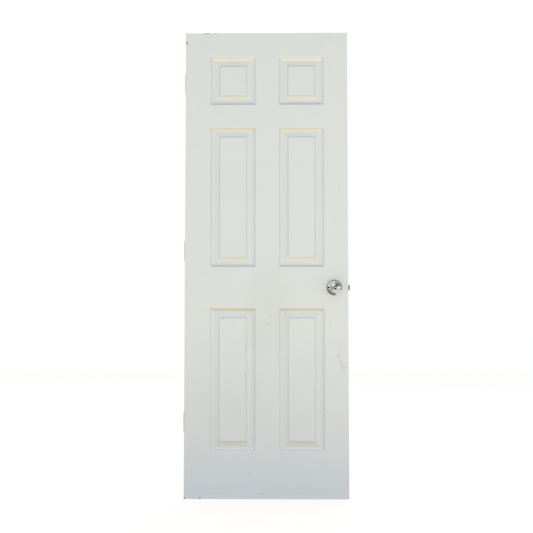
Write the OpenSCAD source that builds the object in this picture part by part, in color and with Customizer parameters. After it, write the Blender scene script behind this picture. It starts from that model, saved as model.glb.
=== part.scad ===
// Six-panel moulded interior door with its hinges, privacy knob set and tubular latch.
// Millimetres. X runs from the hinge edge to the lock edge, Y from the front face to the back, Z up.
// The origin is in the middle of the bottom edge.

/* [Slab] */
// Width of the slab
door_w = 711; // [660:1:813]
// Height of the slab
door_h = 2032; // [1930:1:2134]
// Thickness of the slab
door_t = 35; // [34:0.5:40]
// Thickness of each moulded skin
skin_t = 3.2; // [2.8:0.1:4]
// Width of the softwood stiles inside the slab
stile_w = 30; // [26:1:34]
// Height of the softwood top rail inside the slab
top_rail_h = 60; // [40:1:90]
// Height of the softwood bottom rail inside the slab
bottom_rail_h = 75; // [50:1:120]
// Height of the block that the lock is bored through
lock_block_h = 300; // [200:1:400]

/* [Panels] */
// Flat face of the stile on the hinge side
hinge_stile_face = 107.5; // [95:0.5:120]
// Flat face of the stile on the lock side
lock_stile_face = 100.5; // [96:0.5:120]
// Flat face between the two columns of panels
mullion_face = 97; // [80:0.5:120]
// Flat face above the top panels
top_rail_face = 105; // [92:0.5:130]
// Height of the top panels
top_panel_h = 217.5; // [180:0.5:260]
// Flat face between the top and the middle panels
frieze_rail_face = 98; // [80:0.5:120]
// Flat face between the middle and the bottom panels
lock_rail_face = 176; // [150:0.5:200]
// Height of the bottom panels
bottom_panel_h = 618.5; // [560:0.5:640]
// Flat face below the bottom panels
bottom_rail_face = 200.5; // [180:0.5:230]

/* [Panel moulding] */
// Width of the ogee that runs round each panel
ogee_w = 21; // [18:0.5:24]
// Depth of the ogee below the face
ogee_d = 9; // [7:0.25:10]
// How far the ogee runs on level with the face before it drops
ogee_brow = 5; // [3:0.5:6]
// How long the sweep at the foot of the ogee is
ogee_sweep = 15.5; // [12:0.5:17]
// How far the sweep still falls
ogee_fall = 1.4; // [0.8:0.1:2]
// Width of the flat valley inside the ogee
valley_w = 1; // [0.5:0.5:3]
// Width of the bevel that rises from the valley
bevel_w = 19.5; // [16:0.5:24]
// Width of the step at the top of the bevel
step_w = 4.5; // [3:0.5:7]
// Height of the step at the top of the bevel
step_d = 2.8; // [2:0.1:4]
// Depth of the raised field below the face
field_drop = 1; // [0.5:0.1:2]
// How far the inside of the moulding is set out, to keep an even skin
skin_grow = 2; // [1.5:0.1:2.5]

/* [Core] */
// Size of a cell of the card core, before the cells are spread evenly
core_cell = 70; // [55:1:90]
// Thickness of the cardboard walls
core_wall = 1.4; // [1:0.1:2]
// Gap between the core and the back of the mouldings
core_gap = 0.3; // [0.1:0.1:0.6]

/* [Hinges] */
// Height of a hinge
hinge_h = 89; // [76:1:102]
// Width of a hinge when it lies open
hinge_open_w = 89; // [84:1:102]
// Thickness of the leaves
leaf_t = 2.5; // [2:0.1:3]
// Gap between the leaves of a closed hinge
leaf_gap = 1.8; // [1.2:0.1:2.4]
// Distance from the front face to the edge of the leaf
leaf_backset = 6.4; // [5:0.1:9]
// Corner radius of the leaves
leaf_corner_r = 15.9; // [8:0.1:18]
// Outer radius of the knuckles
knuckle_r = 5.6; // [5.3:0.1:6.5]
// Radius of the pins
pin_r = 3.1; // [2.8:0.05:3.3]
// Radius of the head and the tip of a pin
pin_head_r = 4.8; // [4:0.1:5.5]
// Height of the head and the tip of a pin
pin_head_h = 2.6; // [2:0.1:4]
// Knuckles in one hinge
knuckles = 5; // [3:2:7]
// Distance from the top of the slab to the top hinge
top_hinge_drop = 178; // [150:1:200]
// Distance from the bottom of the slab to the bottom hinge
bottom_hinge_rise = 279; // [250:1:300]
// Distance of the outer screw holes from the leaf's edge
leaf_hole_edge = 8.5; // [7:0.1:10]
// Distance between the outer and the inner column of screw holes
leaf_hole_step = 11.5; // [10:0.1:12]
// Height between the top and the bottom screw hole of a leaf
leaf_hole_spacing = 60; // [52:1:62]
// Radius of the screw holes in the leaves
leaf_hole_r = 2.4; // [2.2:0.05:2.6]
// Radius of the hinge screws' shanks
hinge_screw_r = 2.1; // [1.8:0.05:2.15]
// Radius of the hinge screws' heads
hinge_screw_head_r = 4.2; // [3.8:0.1:4.5]
// Length of the hinge screws
hinge_screw_len = 24; // [18:0.5:25]

/* [Knob set] */
// Distance from the lock edge to the middle of the knob
backset = 60.3; // [58:0.1:63]
// Radius of the bore through the door's faces
cross_bore_r = 27; // [26.5:0.1:28]
// Radius of the roses
rose_r = 35; // [33:0.1:36]
// Height of the roses' domes
rose_h = 10; // [9:0.1:12]
// Height of the roses' rims
rose_lip = 1.2; // [0.8:0.1:2]
// Wall of the roses
rose_wall = 1.5; // [1:0.1:1.8]
// Radius of the flat on top of the roses
rose_top_r = 16; // [15:0.1:18]
// Radius of the knobs at their widest
knob_r = 25.5; // [24:0.1:28]
// How far the knobs stand off the faces
knob_h = 60; // [56:0.5:66]
// Height above the face where the knobs are widest
knob_wide_h = 49; // [46:0.5:52]
// Radius of the rim round the dished face
knob_rim_r = 21; // [19:0.1:23]
// Depth of the dished face
dish_d = 4.5; // [3:0.1:6]
// Radius of the knobs' shanks
shank_r = 13; // [12:0.1:14]
// Height above the face where the shanks start
shank_foot = 2; // [1:0.1:3]
// Length of the shank that shows between the rose and the flare
neck_gap = 1.5; // [0.5:0.1:3]
// How long the neck stays straight
neck_pull = 14; // [10:0.5:18]
// How long the flare runs straight up to the widest place
flare_pull = 20; // [14:0.5:24]
// How long the brow runs straight up from the widest place
brow_pull = 5; // [3:0.1:7]
// How far the rim's top is rounded outward
rim_pull = 2.5; // [1:0.1:3.5]
// Wall of the knobs
knob_wall = 1.8; // [1.4:0.1:2.2]
// Radius of the sleeve inside the knobs that holds the spindle
sleeve_r = 9; // [8.4:0.1:9.5]
// Width across the flats of the spindle
spindle_w = 6.4; // [6:0.1:7]
// How far the spindle reaches past each face
spindle_reach = 36; // [30:0.5:40]
// Radius of the rod that the turn button turns
rod_r = 2; // [1.6:0.05:2.2]
// Radius of the turn button's shaft
button_r = 6; // [5:0.1:6.4]
// Length of the turn button's grip
grip_l = 15.5; // [13:0.1:16]
// Thickness of the turn button's grip
grip_w = 6; // [4:0.1:7]
// Height of the turn button's grip
grip_h = 4; // [3:0.1:5]
// Thickness of the turn button's cap
cap_t = 1.2; // [0.8:0.1:2]
// How far the turn button's cap overhangs its shaft
cap_lip = 2; // [1.5:0.1:2.5]
// Gap between the spindle's end and the turn button's shaft
spindle_gap = 2; // [1:0.1:3]
// How far the rod's end lies below the far knob's dish
rod_gap = 4; // [3:0.1:6]
// Radius of the emergency release hole in the far knob
release_r = 2.4; // [2.3:0.05:2.8]
// Distance of the rose screws from the middle of the knob
rose_screw_x = 22; // [21.6:0.1:22.2]
// Radius of the rose screws' shanks
rose_screw_r = 2; // [1.8:0.05:2.2]
// Radius of the rose screws' heads
rose_screw_head_r = 3.6; // [3.2:0.1:3.8]
// Height above the face of the rose screws' seats
rose_seat_h = 6.5; // [6:0.1:7]
// Radius of the posts that take the rose screws
post_r = 3.2; // [3:0.05:3.3]
// Gap between the end of a post and the front face
post_gap = 3; // [2:0.1:4]
// How far the rose screws reach past the front face
rose_screw_bite = 18; // [14:0.5:20]
// Height of the rose screws' heads
rose_screw_head_h = 2.2; // [1.8:0.1:2.6]
// Width of the cross slots in the rose screws
rose_screw_slot = 0.9; // [0.7:0.1:1.1]
// Height of the screw bosses under the rose screws' seats
boss_h = 3.5; // [2.5:0.1:4]

/* [Latch] */
// How far the bolt stands out of the lock edge
latch_throw = 9.5; // [8:0.1:11]
// Radius of the bore in the lock edge
edge_bore_r = 12.7; // [12.6:0.05:13]
// Outer radius of the latch tube
tube_r = 12.4; // [12.2:0.05:12.5]
// Wall of the latch tube
tube_wall = 1; // [0.8:0.1:1.1]
// Radius of the bolt's rounded top and bottom
bolt_r = 11; // [10.6:0.05:11.1]
// Flat left on the bolt's nose
bolt_nose = 2; // [1:0.1:3]
// Thickness of the bolt
bolt_t = 13; // [12:0.1:14]
// Length of the bolt that stays inside the tube
bolt_guide = 12; // [11:0.1:13]
// Width of the face plate
plate_w = 25.4; // [24:0.1:27]
// Height of the face plate
plate_h = 57.2; // [55:0.1:60]
// Thickness of the face plate
plate_t = 2.4; // [2:0.1:3]
// Corner radius of the face plate
plate_corner_r = 6.4; // [4:0.1:8]
// Distance between the face plate's screws
plate_hole_spacing = 41.3; // [40:0.1:44]
// Radius of the face plate screws' shanks
plate_screw_r = 1.9; // [1.7:0.05:2]
// Radius of the face plate screws' heads
plate_screw_head_r = 3.6; // [3.2:0.1:4]
// Length of the face plate screws
plate_screw_len = 19; // [14:0.5:24]
// Half the height of the latch case
case_z = 13.6; // [13.2:0.1:14]
// Half the thickness of the latch case
case_y = 7.6; // [7.2:0.1:8]
// Half the length of the latch case
case_x = 18; // [17.5:0.1:18.2]
// Wall of the latch case
case_wall = 1; // [0.8:0.1:1.2]
// Radius of the hub's bearings in the case
hub_r = 6; // [5.7:0.1:6.2]
// Length of the hub's fingers from its axis
finger_r = 12.1; // [11.8:0.05:12.2]
// Width of the hub's fingers
finger_w = 4; // [3.6:0.1:4.4]
// Thickness of the hub's fingers
finger_t = 6.4; // [6:0.1:6.6]
// Height of the retractor's cross pins above the hub's axis
cross_pin_z = 8.4; // [8.2:0.05:8.6]
// Radius of the cross pins
cross_pin_r = 1.4; // [1.2:0.05:1.5]
// Thickness of the retractor's bars
bar_t = 1.2; // [1:0.1:1.3]
// Height of the retractor's bars
bar_h = 3.2; // [3:0.1:3.3]
// Radius of the latch spring's wire
spring_wire_r = 0.45; // [0.35:0.05:0.5]
// Distance of the latch spring's seat past the posts
spring_seat_gap = 3; // [2.5:0.1:4]
// Turns of the latch spring
spring_turns = 6; // [5:1:7]

/* [Fits] */
// Gap round a shaft that turns
running_gap = 0.05; // [0.03:0.01:0.08]
// Gap round a piece that slides or clears its neighbour
sliding_gap = 0.3; // [0.2:0.05:0.5]
// Gap round a screw or a piece that is fixed
seat_gap = 0.1; // [0.05:0.05:0.2]

/* [Hidden] */
$fn = 64;
// Straight pieces in each half of a moulded S curve
curve_n = 5;
// How far a cutting tool passes the face that it cuts
past = 1;

paint = [0.85, 0.865, 0.845];
softwood = [0.80, 0.66, 0.45];
card = [0.70, 0.56, 0.38];
chrome = [0.76, 0.78, 0.80];
steel = [0.62, 0.63, 0.64];

half_w = door_w / 2;
half_t = door_t / 2;
core_t = door_t - 2 * skin_t;
// The room that the lock block takes between the lock stile and the mouldings
lock_block_w = lock_stile_face - stile_w - skin_grow - core_gap;
panel_w = (door_w - hinge_stile_face - lock_stile_face - mullion_face) / 2;
lock_rail_z = bottom_rail_face + bottom_panel_h;
middle_panel_z = lock_rail_z + lock_rail_face;
top_panel_z = door_h - top_rail_face - top_panel_h;
middle_panel_h = top_panel_z - frieze_rail_face - middle_panel_z;
panel_columns = [hinge_stile_face - half_w, half_w - lock_stile_face - panel_w];
panel_rows = [
    [bottom_rail_face, bottom_panel_h],
    [middle_panel_z, middle_panel_h],
    [top_panel_z, top_panel_h]
];
moulding_w = ogee_w + valley_w + bevel_w + step_w;
ogee_bend = [[0, 0], [ogee_brow, 0], [ogee_w - ogee_sweep, ogee_d - ogee_fall], [ogee_w, ogee_d]];

lock_x = half_w - backset;
lock_z = lock_rail_z + lock_rail_face / 2;

pin_x = -half_w - leaf_gap / 2;
pin_y = half_t + hinge_open_w / 2 - (door_t - leaf_backset);
leaf_front_y = leaf_backset - half_t;
leaf_back_y = pin_y - knuckle_r - sliding_gap;
knuckle_pitch = hinge_h / knuckles;
bottom_hinge_z = bottom_hinge_rise + hinge_h / 2;
top_hinge_z = door_h - top_hinge_drop - hinge_h / 2;
middle_hinge_z = (bottom_hinge_z + top_hinge_z) / 2;
hinge_zs = [bottom_hinge_z, middle_hinge_z, top_hinge_z];
leaf_outer_y = leaf_front_y + leaf_hole_edge;
leaf_inner_y = leaf_outer_y + leaf_hole_step;

rose_hole_r = shank_r + sliding_gap;
neck_h = rose_h + neck_gap;
dish_h = knob_h - dish_d;
boss_r = rose_screw_head_r + rose_wall;
boss_foot = rose_seat_h - boss_h;
rose_screw_len = rose_seat_h + rose_screw_bite;
post_end = door_t - post_gap;
button_foot = spindle_reach + spindle_gap;
rod_end = dish_h - rod_gap;
cap_r = button_r + cap_lip;

case_in_y = case_y - case_wall;
case_in_z = case_z - case_wall;
tube_end = backset - plate_t;
bolt_back = tube_end - bolt_guide;
bar_z = cross_pin_z - bar_h / 2;
bar_y = finger_t / 2 + sliding_gap;
pin_side = finger_w / 2 + cross_pin_r + sliding_gap;
// Half of the angle that the hub turns to draw the bolt in
finger_angle = atan(latch_throw / 2 / cross_pin_z);
cross_pin_x = cross_pin_z * tan(finger_angle) - pin_side / cos(finger_angle);
spring_seat_x = rose_screw_x + post_r + spring_seat_gap;
spring_r = bar_y - sliding_gap - spring_wire_r;

// Points of an S curve made of two equal arcs, from the origin to a width and a depth
function s_curve(w, d) =
    let (turn = 2 * atan(d / w), r = w / 2 / sin(turn))
    concat(
        [for (i = [0 : curve_n]) let (a = turn * i / curve_n) [r * sin(a), r * (1 - cos(a))]],
        [for (i = [curve_n - 1 : -1 : 0])
            let (a = turn * i / curve_n) [w - r * sin(a), d - r * (1 - cos(a))]]
    );

// A point on a cubic curve, and the points along one
function cubic(p, t) =
    p[0] * pow(1 - t, 3) + 3 * p[1] * t * pow(1 - t, 2) + 3 * p[2] * t * t * (1 - t) + p[3] * pow(t, 3);
function cubic_points(p, n) = [for (i = [0 : n]) cubic(p, i / n)];

// A profile from its left half, mirrored across a span
function both_sides(half, span) = concat(
    half,
    [for (i = [len(half) - 1 : -1 : 0]) [span - half[i][0], half[i][1]]]
);

// The panel's recess and the raised panel in it, as depth across a span
function recess_half(grow) = concat(
    [[-grow, -past]],
    [for (p = cubic_points(ogee_bend, 2 * curve_n)) [p[0] - grow, p[1]]]
);
function raised_half(grow) =
    let (foot = ogee_w + valley_w + grow, top = foot + bevel_w)
    concat(
        [[foot, ogee_d + past], [foot, ogee_d]],
        [for (p = s_curve(step_w, -step_d)) [top + p[0], field_drop + step_d + p[1]]]
    );

// The shape that two profiles share, one run along Z and one along X, so that its corners are mitred
module mitred(w, h, half) {
    intersection() {
        translate([0, 0, -2 * past])
            linear_extrude(h + 4 * past) polygon(both_sides(half, w));
        translate([w + 2 * past, 0, 0])
            rotate([0, -90, 0])
                linear_extrude(w + 4 * past) polygon(both_sides(half, h));
    }
}

// The hollow that one panel presses into the face
module panel_hollow(w, h, grow) {
    difference() {
        mitred(w, h, recess_half(grow));
        mitred(w, h, raised_half(grow));
    }
}

module panel_hollows(depth, grow) {
    for (x = panel_columns)
        for (row = panel_rows)
            translate([x, depth - half_t, row[0]])
                panel_hollow(panel_w, row[1], grow);
}

module cross_bore() {
    translate([lock_x, 0, lock_z])
        rotate([90, 0, 0])
            cylinder(r = cross_bore_r, h = door_t + 2 * past, center = true);
}

module edge_bore() {
    translate([lock_x, 0, lock_z])
        rotate([0, 90, 0])
            cylinder(r = edge_bore_r, h = backset + past);
}

module moulded_skin() {
    difference() {
        union() {
            translate([-half_w, -half_t, 0]) cube([door_w, skin_t, door_h]);
            panel_hollows(skin_t, skin_grow);
        }
        panel_hollows(0, 0);
        cross_bore();
    }
}

// A plate outline in Y and Z with rounded corners at its low Y end
module leaf_outline(grow) {
    front = leaf_front_y - grow;
    half_h = hinge_h / 2 + grow;
    translate([front + leaf_corner_r, -half_h])
        square([leaf_back_y - front - leaf_corner_r, 2 * half_h]);
    translate([front, leaf_corner_r - half_h])
        square([2 * leaf_corner_r, 2 * (half_h - leaf_corner_r)]);
    for (side = [-1, 1])
        translate([front + leaf_corner_r, side * (half_h - leaf_corner_r)])
            circle(leaf_corner_r);
}

// Stands a drawing in Y and Z up, and gives it a thickness along X
module along_x(t) {
    rotate([90, 0, 90]) linear_extrude(t) children();
}

module hinge_mortises() {
    for (z = hinge_zs)
        translate([-half_w - past, 0, z])
            along_x(past + leaf_t) leaf_outline(seat_gap);
}

// Places the children at a leaf's screw holes: the outer pair in one column, the middle one in the other
module at_leaf_holes(pair_y, middle_y) {
    for (side = [-1, 1])
        translate([0, pair_y, side * leaf_hole_spacing / 2]) children();
    translate([0, middle_y, 0]) children();
}

// A screw along X with its head's face at the origin
module countersunk_screw(r, head_r, length) {
    slot = head_r / 4;
    difference() {
        rotate([0, 90, 0])
            rotate_extrude()
                polygon([
                    [0, 0], [head_r, 0], [r, head_r - r],
                    [r, length - 2 * r], [0, length]
                ]);
        for (turn = [0, 90])
            rotate([turn, 0, 0])
                translate([-past, -slot / 2, -head_r / 2])
                    cube([past + slot, slot, head_r]);
    }
}

// The hole that such a screw passes through
module countersunk_hole(r, head_r, length) {
    rotate([0, 90, 0]) {
        translate([0, 0, -past]) cylinder(r = r, h = length + past);
        translate([0, 0, -past]) cylinder(r1 = head_r + past, r2 = r, h = head_r - r + past);
    }
}

// One leaf of a hinge at rest, on the door side or, mirrored across the pin, on the frame side
module door_side_leaf(first, pair_y, middle_y) {
    near = leaf_gap / 2;
    difference() {
        union() {
            translate([near, -pin_y, 0]) along_x(leaf_t) leaf_outline(0);
            for (i = [first : 2 : knuckles - 1])
                translate([0, 0, i * knuckle_pitch - hinge_h / 2 + sliding_gap / 2])
                    linear_extrude(knuckle_pitch - sliding_gap) {
                        circle(knuckle_r);
                        translate([near, leaf_back_y - pin_y - past])
                            square([leaf_t, pin_y - leaf_back_y + past]);
                    }
        }
        cylinder(r = pin_r + running_gap, h = hinge_h + 2 * past, center = true);
        translate([near, -pin_y, 0])
            at_leaf_holes(pair_y, middle_y)
                countersunk_hole(leaf_hole_r, hinge_screw_head_r + seat_gap, leaf_t + past);
    }
}

module door_leaf(z) {
    color(steel)
        translate([pin_x, pin_y, z])
            door_side_leaf(1, leaf_outer_y, leaf_inner_y);
}

module frame_leaf(z) {
    color(steel)
        translate([pin_x, pin_y, z])
            mirror([1, 0, 0])
                door_side_leaf(0, leaf_inner_y, leaf_outer_y);
}

// Stands the children on a face at the lock, with Z pointing out of the front (-1) or the back (1)
module on_face(side) {
    translate([lock_x, side * half_t, lock_z])
        rotate([-90 * side, 0, 0]) children();
}

// The rose's dome, drawn in by a wall
function rose_profile(wall) = concat(
    [[0, 0], [rose_r - wall, 0]],
    [for (t = [0 : 9 : 90])
        [rose_top_r + (rose_r - wall - rose_top_r) * cos(t),
         rose_lip + (rose_h - wall - rose_lip) * sin(t)]],
    [[0, rose_h - wall]]
);

module rose_dome() {
    rotate_extrude() polygon(rose_profile(0));
}

module at_rose_screws() {
    for (side = [-1, 1])
        translate([side * rose_screw_x, 0, 0]) children();
}

module rose() {
    difference() {
        union() {
            difference() {
                rose_dome();
                translate([0, 0, -past]) cylinder(r = rose_r - rose_wall, h = past);
                rotate_extrude() polygon(rose_profile(rose_wall));
            }
            intersection() {
                rose_dome();
                at_rose_screws()
                    translate([0, 0, boss_foot]) cylinder(r = boss_r, h = rose_h);
            }
        }
        translate([0, 0, -past]) cylinder(r = rose_hole_r, h = rose_h + 2 * past);
    }
}

// The knob's flare from the neck to the rim, drawn in by a wall
function knob_flare(wall) = concat(
    cubic_points([
        [shank_r - wall, neck_h], [shank_r - wall, neck_h + neck_pull],
        [knob_r - wall, knob_wide_h - flare_pull], [knob_r - wall, knob_wide_h]
    ], 2 * curve_n),
    cubic_points([
        [knob_r - wall, knob_wide_h], [knob_r - wall, knob_wide_h + brow_pull],
        [knob_rim_r + rim_pull - wall, knob_h - wall], [knob_rim_r - wall, knob_h - wall]
    ], curve_n)
);

// Height of the dished face at a distance from its middle
function dish(r) = dish_h + dish_d * pow(r / knob_rim_r, 2);

module knob() {
    difference() {
        rotate_extrude()
            polygon(concat(
                [[0, shank_foot], [shank_r, shank_foot]],
                knob_flare(0),
                [for (i = [2 * curve_n - 1 : -1 : 0]) let (r = knob_rim_r * i / 2 / curve_n) [r, dish(r)]]
            ));
        rotate_extrude()
            polygon(concat(
                [[sleeve_r, shank_foot - past], [shank_r - knob_wall, shank_foot - past]],
                [for (p = knob_flare(knob_wall)) [p[0], min(p[1], dish(p[0]) - knob_wall)]],
                [[sleeve_r, dish(sleeve_r) - knob_wall]]
            ));
        translate([0, 0, button_foot / 2])
            cube([spindle_w + 2 * seat_gap, spindle_w + 2 * seat_gap, button_foot], center = true);
    }
}

module spindle_bar(w, length) {
    translate([lock_x, 0, lock_z]) cube([w, length, w], center = true);
}

// A face plate outline in Y and Z
module plate_outline(grow) {
    half_y = plate_w / 2 + grow - plate_corner_r;
    half_z = plate_h / 2 + grow - plate_corner_r;
    square([2 * half_y, 2 * (half_z + plate_corner_r)], center = true);
    square([2 * (half_y + plate_corner_r), 2 * half_z], center = true);
    for (y = [-half_y, half_y])
        for (z = [-half_z, half_z])
            translate([y, z]) circle(plate_corner_r);
}

// The bolt's section in Y and Z, rounded at its top and bottom
module bolt_section(grow) {
    intersection() {
        circle(bolt_r + grow);
        square([bolt_t + 2 * grow, 2 * (bolt_r + grow)], center = true);
    }
}

module at_plate_screws() {
    for (side = [-1, 1])
        translate([half_w, 0, lock_z + side * plate_hole_spacing / 2])
            mirror([1, 0, 0]) children();
}

module at_lock() {
    translate([lock_x, 0, lock_z]) children();
}

module front_skin() {
    color(paint) moulded_skin();
}

module back_skin() {
    color(paint)
        difference() {
            mirror([0, 1, 0]) moulded_skin();
            hinge_mortises();
        }
}

module hinge_stile() {
    color(softwood)
        difference() {
            translate([-half_w, -core_t / 2, 0]) cube([stile_w, core_t, door_h]);
            hinge_mortises();
            for (z = hinge_zs)
                translate([-half_w, 0, z])
                    at_leaf_holes(leaf_outer_y, leaf_inner_y)
                        rotate([0, 90, 0])
                            cylinder(r = hinge_screw_r + seat_gap, h = hinge_screw_len + seat_gap);
        }
}

module lock_stile() {
    color(softwood)
        difference() {
            translate([half_w - stile_w, -core_t / 2, 0]) cube([stile_w, core_t, door_h]);
            edge_bore();
            translate([half_w - plate_t, 0, lock_z]) along_x(plate_t + past) plate_outline(seat_gap);
            at_plate_screws()
                rotate([0, 90, 0]) cylinder(r = plate_screw_r + seat_gap, h = plate_screw_len + seat_gap);
        }
}

module top_rail() {
    color(softwood)
        translate([stile_w - half_w, -core_t / 2, door_h - top_rail_h])
            cube([door_w - 2 * stile_w, core_t, top_rail_h]);
}

module bottom_rail() {
    color(softwood)
        translate([stile_w - half_w, -core_t / 2, 0])
            cube([door_w - 2 * stile_w, core_t, bottom_rail_h]);
}

module lock_block() {
    color(softwood)
        difference() {
            translate([half_w - stile_w - lock_block_w, -core_t / 2, lock_z - lock_block_h / 2])
                cube([lock_block_w, core_t, lock_block_h]);
            cross_bore();
            edge_bore();
        }
}

// Square cells that fill the room between the stiles and the rails evenly
module core_cells(w, h) {
    columns = floor((w - core_wall) / (core_cell + core_wall));
    rows = floor((h - core_wall) / (core_cell + core_wall));
    pitch_w = (w - core_wall) / columns;
    pitch_h = (h - core_wall) / rows;
    for (row = [0 : rows - 1])
        for (column = [0 : columns - 1])
            translate([core_wall + column * pitch_w, core_wall + row * pitch_h])
                square([pitch_w - core_wall, pitch_h - core_wall]);
}

// The room that a panel's moulding takes from the core on one side
module core_relief(w, h) {
    room = skin_grow + core_gap;
    inner = moulding_w + room;
    difference() {
        translate([-room, -past, -room])
            cube([w + 2 * room, past + ogee_d + skin_t + core_gap, h + 2 * room]);
        translate([inner, field_drop + skin_t + core_gap, inner])
            cube([w - 2 * inner, ogee_d + skin_t, h - 2 * inner]);
    }
}

module card_core() {
    core_w = door_w - 2 * stile_w;
    core_h = door_h - top_rail_h - bottom_rail_h;
    color(card)
        difference() {
            translate([stile_w - half_w, core_t / 2, bottom_rail_h])
                rotate([90, 0, 0])
                    linear_extrude(core_t)
                        difference() {
                            square([core_w, core_h]);
                            core_cells(core_w, core_h);
                            translate([core_w - lock_block_w, lock_z - lock_block_h / 2 - bottom_rail_h])
                                square([lock_block_w + past, lock_block_h]);
                        }
            for (side = [0, 1])
                mirror([0, side, 0])
                    for (x = panel_columns)
                        for (row = panel_rows)
                            translate([x, -half_t, row[0]])
                                core_relief(panel_w, row[1]);
        }
}

module bottom_door_leaf() {
    door_leaf(bottom_hinge_z);
}

module middle_door_leaf() {
    door_leaf(middle_hinge_z);
}

module top_door_leaf() {
    door_leaf(top_hinge_z);
}

module bottom_frame_leaf() {
    frame_leaf(bottom_hinge_z);
}

module middle_frame_leaf() {
    frame_leaf(middle_hinge_z);
}

module top_frame_leaf() {
    frame_leaf(top_hinge_z);
}

// Pins with a domed head above the top knuckle and a domed tip below the bottom one
module hinge_pins() {
    reach = hinge_h / 2 - sliding_gap / 2;
    dome = [for (t = [0 : 15 : 90]) [pin_head_r * cos(t), reach + pin_head_h * sin(t)]];
    tip = [for (t = [90 : -15 : 0]) [pin_head_r * cos(t), -reach - pin_head_h * sin(t)]];
    color(steel)
        for (z = hinge_zs)
            translate([pin_x, pin_y, z])
                rotate_extrude()
                    polygon(concat(tip, [[pin_r, -reach], [pin_r, reach]], dome));
}

module hinge_screws() {
    color(steel)
        for (z = hinge_zs)
            translate([-half_w, 0, z])
                at_leaf_holes(leaf_outer_y, leaf_inner_y)
                    countersunk_screw(hinge_screw_r, hinge_screw_head_r, hinge_screw_len);
}

module front_rose() {
    color(chrome)
        on_face(-1)
            difference() {
                rose();
                at_rose_screws() {
                    cylinder(r = rose_screw_r + seat_gap, h = rose_h);
                    translate([0, 0, rose_seat_h]) cylinder(r = rose_screw_head_r + seat_gap, h = rose_h);
                }
            }
}

module back_rose() {
    color(chrome) on_face(1) rose();
}

module rose_posts() {
    color(steel)
        on_face(1)
            at_rose_screws()
                difference() {
                    translate([0, 0, -post_end]) cylinder(r = post_r, h = post_end + boss_foot);
                    translate([0, 0, -post_end - past])
                        cylinder(r = rose_screw_r + seat_gap, h = rose_screw_len);
                }
}

// Round-headed screws with a cross recess
module rose_screws() {
    color(chrome)
        on_face(-1)
            at_rose_screws()
                translate([0, 0, rose_seat_h])
                    difference() {
                        rotate_extrude()
                            polygon(concat(
                                [[0, -rose_screw_len], [rose_screw_r, -rose_screw_len], [rose_screw_r, 0]],
                                [for (t = [0 : 15 : 90])
                                    [rose_screw_head_r * cos(t), rose_screw_head_h * sin(t)]]
                            ));
                        for (turn = [0, 90])
                            rotate(turn)
                                translate([0, 0, rose_screw_head_h])
                                    cube(
                                        [rose_screw_head_r, rose_screw_slot, rose_screw_head_h],
                                        center = true
                                    );
                    }
}

module front_knob() {
    color(chrome)
        on_face(-1)
            difference() {
                knob();
                translate([0, 0, button_foot]) cylinder(r = button_r + running_gap, h = knob_h);
            }
}

module back_knob() {
    color(chrome)
        on_face(1)
            difference() {
                knob();
                translate([0, 0, button_foot - past]) cylinder(r = release_r, h = knob_h);
            }
}

module spindle() {
    color(steel)
        difference() {
            spindle_bar(spindle_w, door_t + 2 * spindle_reach);
            at_lock()
                rotate([90, 0, 0])
                    cylinder(
                        r = rod_r + running_gap,
                        h = door_t + 2 * spindle_reach + 2 * past,
                        center = true
                    );
        }
}

// A lens-shaped grip on a round cap and shaft
module turn_button() {
    cap_foot = dish(cap_r) + sliding_gap;
    lens_r = (pow(grip_l / 2, 2) + pow(grip_w / 2, 2)) / grip_w;
    color(chrome)
        on_face(-1) {
            translate([0, 0, button_foot]) cylinder(r = button_r, h = cap_foot - button_foot + past);
            translate([0, 0, cap_foot]) cylinder(r = cap_r, h = cap_t);
            translate([0, 0, cap_foot])
                linear_extrude(cap_t + grip_h)
                    intersection_for (side = [-1, 1])
                        translate([0, side * (lens_r - grip_w / 2)]) circle(lens_r);
        }
}

module locking_rod() {
    color(steel)
        on_face(1)
            translate([0, 0, -door_t - button_foot])
                cylinder(r = rod_r, h = door_t + button_foot + rod_end);
}

// A hollow case round the hub, and a tube that runs from it to the face plate
module latch_housing() {
    color(steel)
        at_lock()
            difference() {
                union() {
                    cube([2 * case_x, 2 * case_y, 2 * case_z], center = true);
                    rotate([0, 90, 0]) cylinder(r = tube_r, h = tube_end);
                }
                cube([2 * (case_x - case_wall), 2 * case_in_y, 2 * case_in_z], center = true);
                rotate([0, 90, 0])
                    difference() {
                        cylinder(r = tube_r - tube_wall, h = tube_end + past);
                        translate([0, 0, spring_seat_x])
                            cube([2 * (bar_z - sliding_gap), 2 * tube_r, case_wall], center = true);
                    }
                rotate([90, 0, 0]) cylinder(r = hub_r + running_gap, h = 2 * tube_r, center = true);
                translate([rose_screw_x, 0, 0])
                    rotate([90, 0, 0])
                        cylinder(r = post_r + sliding_gap, h = 2 * tube_r + past, center = true);
            }
}

module latch_faceplate() {
    color(chrome)
        difference() {
            translate([half_w - plate_t, 0, lock_z])
                along_x(plate_t)
                    difference() {
                        plate_outline(0);
                        bolt_section(sliding_gap);
                    }
            at_plate_screws()
                countersunk_hole(plate_screw_r + seat_gap, plate_screw_head_r + seat_gap, plate_t + past);
        }
}

module latch_screws() {
    color(chrome)
        at_plate_screws()
            countersunk_screw(plate_screw_r, plate_screw_head_r, plate_screw_len);
}

// The bolt, with its slope toward the front
module latch_bolt() {
    nose = backset + latch_throw;
    shoulder = backset + past;
    color(chrome)
        at_lock()
            intersection() {
                translate([bolt_back, 0, 0]) along_x(nose - bolt_back) bolt_section(0);
                translate([0, 0, -bolt_r - past])
                    linear_extrude(2 * (bolt_r + past))
                        polygon([
                            [bolt_back - past, -bolt_t], [shoulder, -bolt_t], [shoulder, -bolt_t / 2],
                            [nose, bolt_t / 2 - bolt_nose], [nose, bolt_t], [bolt_back - past, bolt_t]
                        ]);
            }
}

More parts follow.
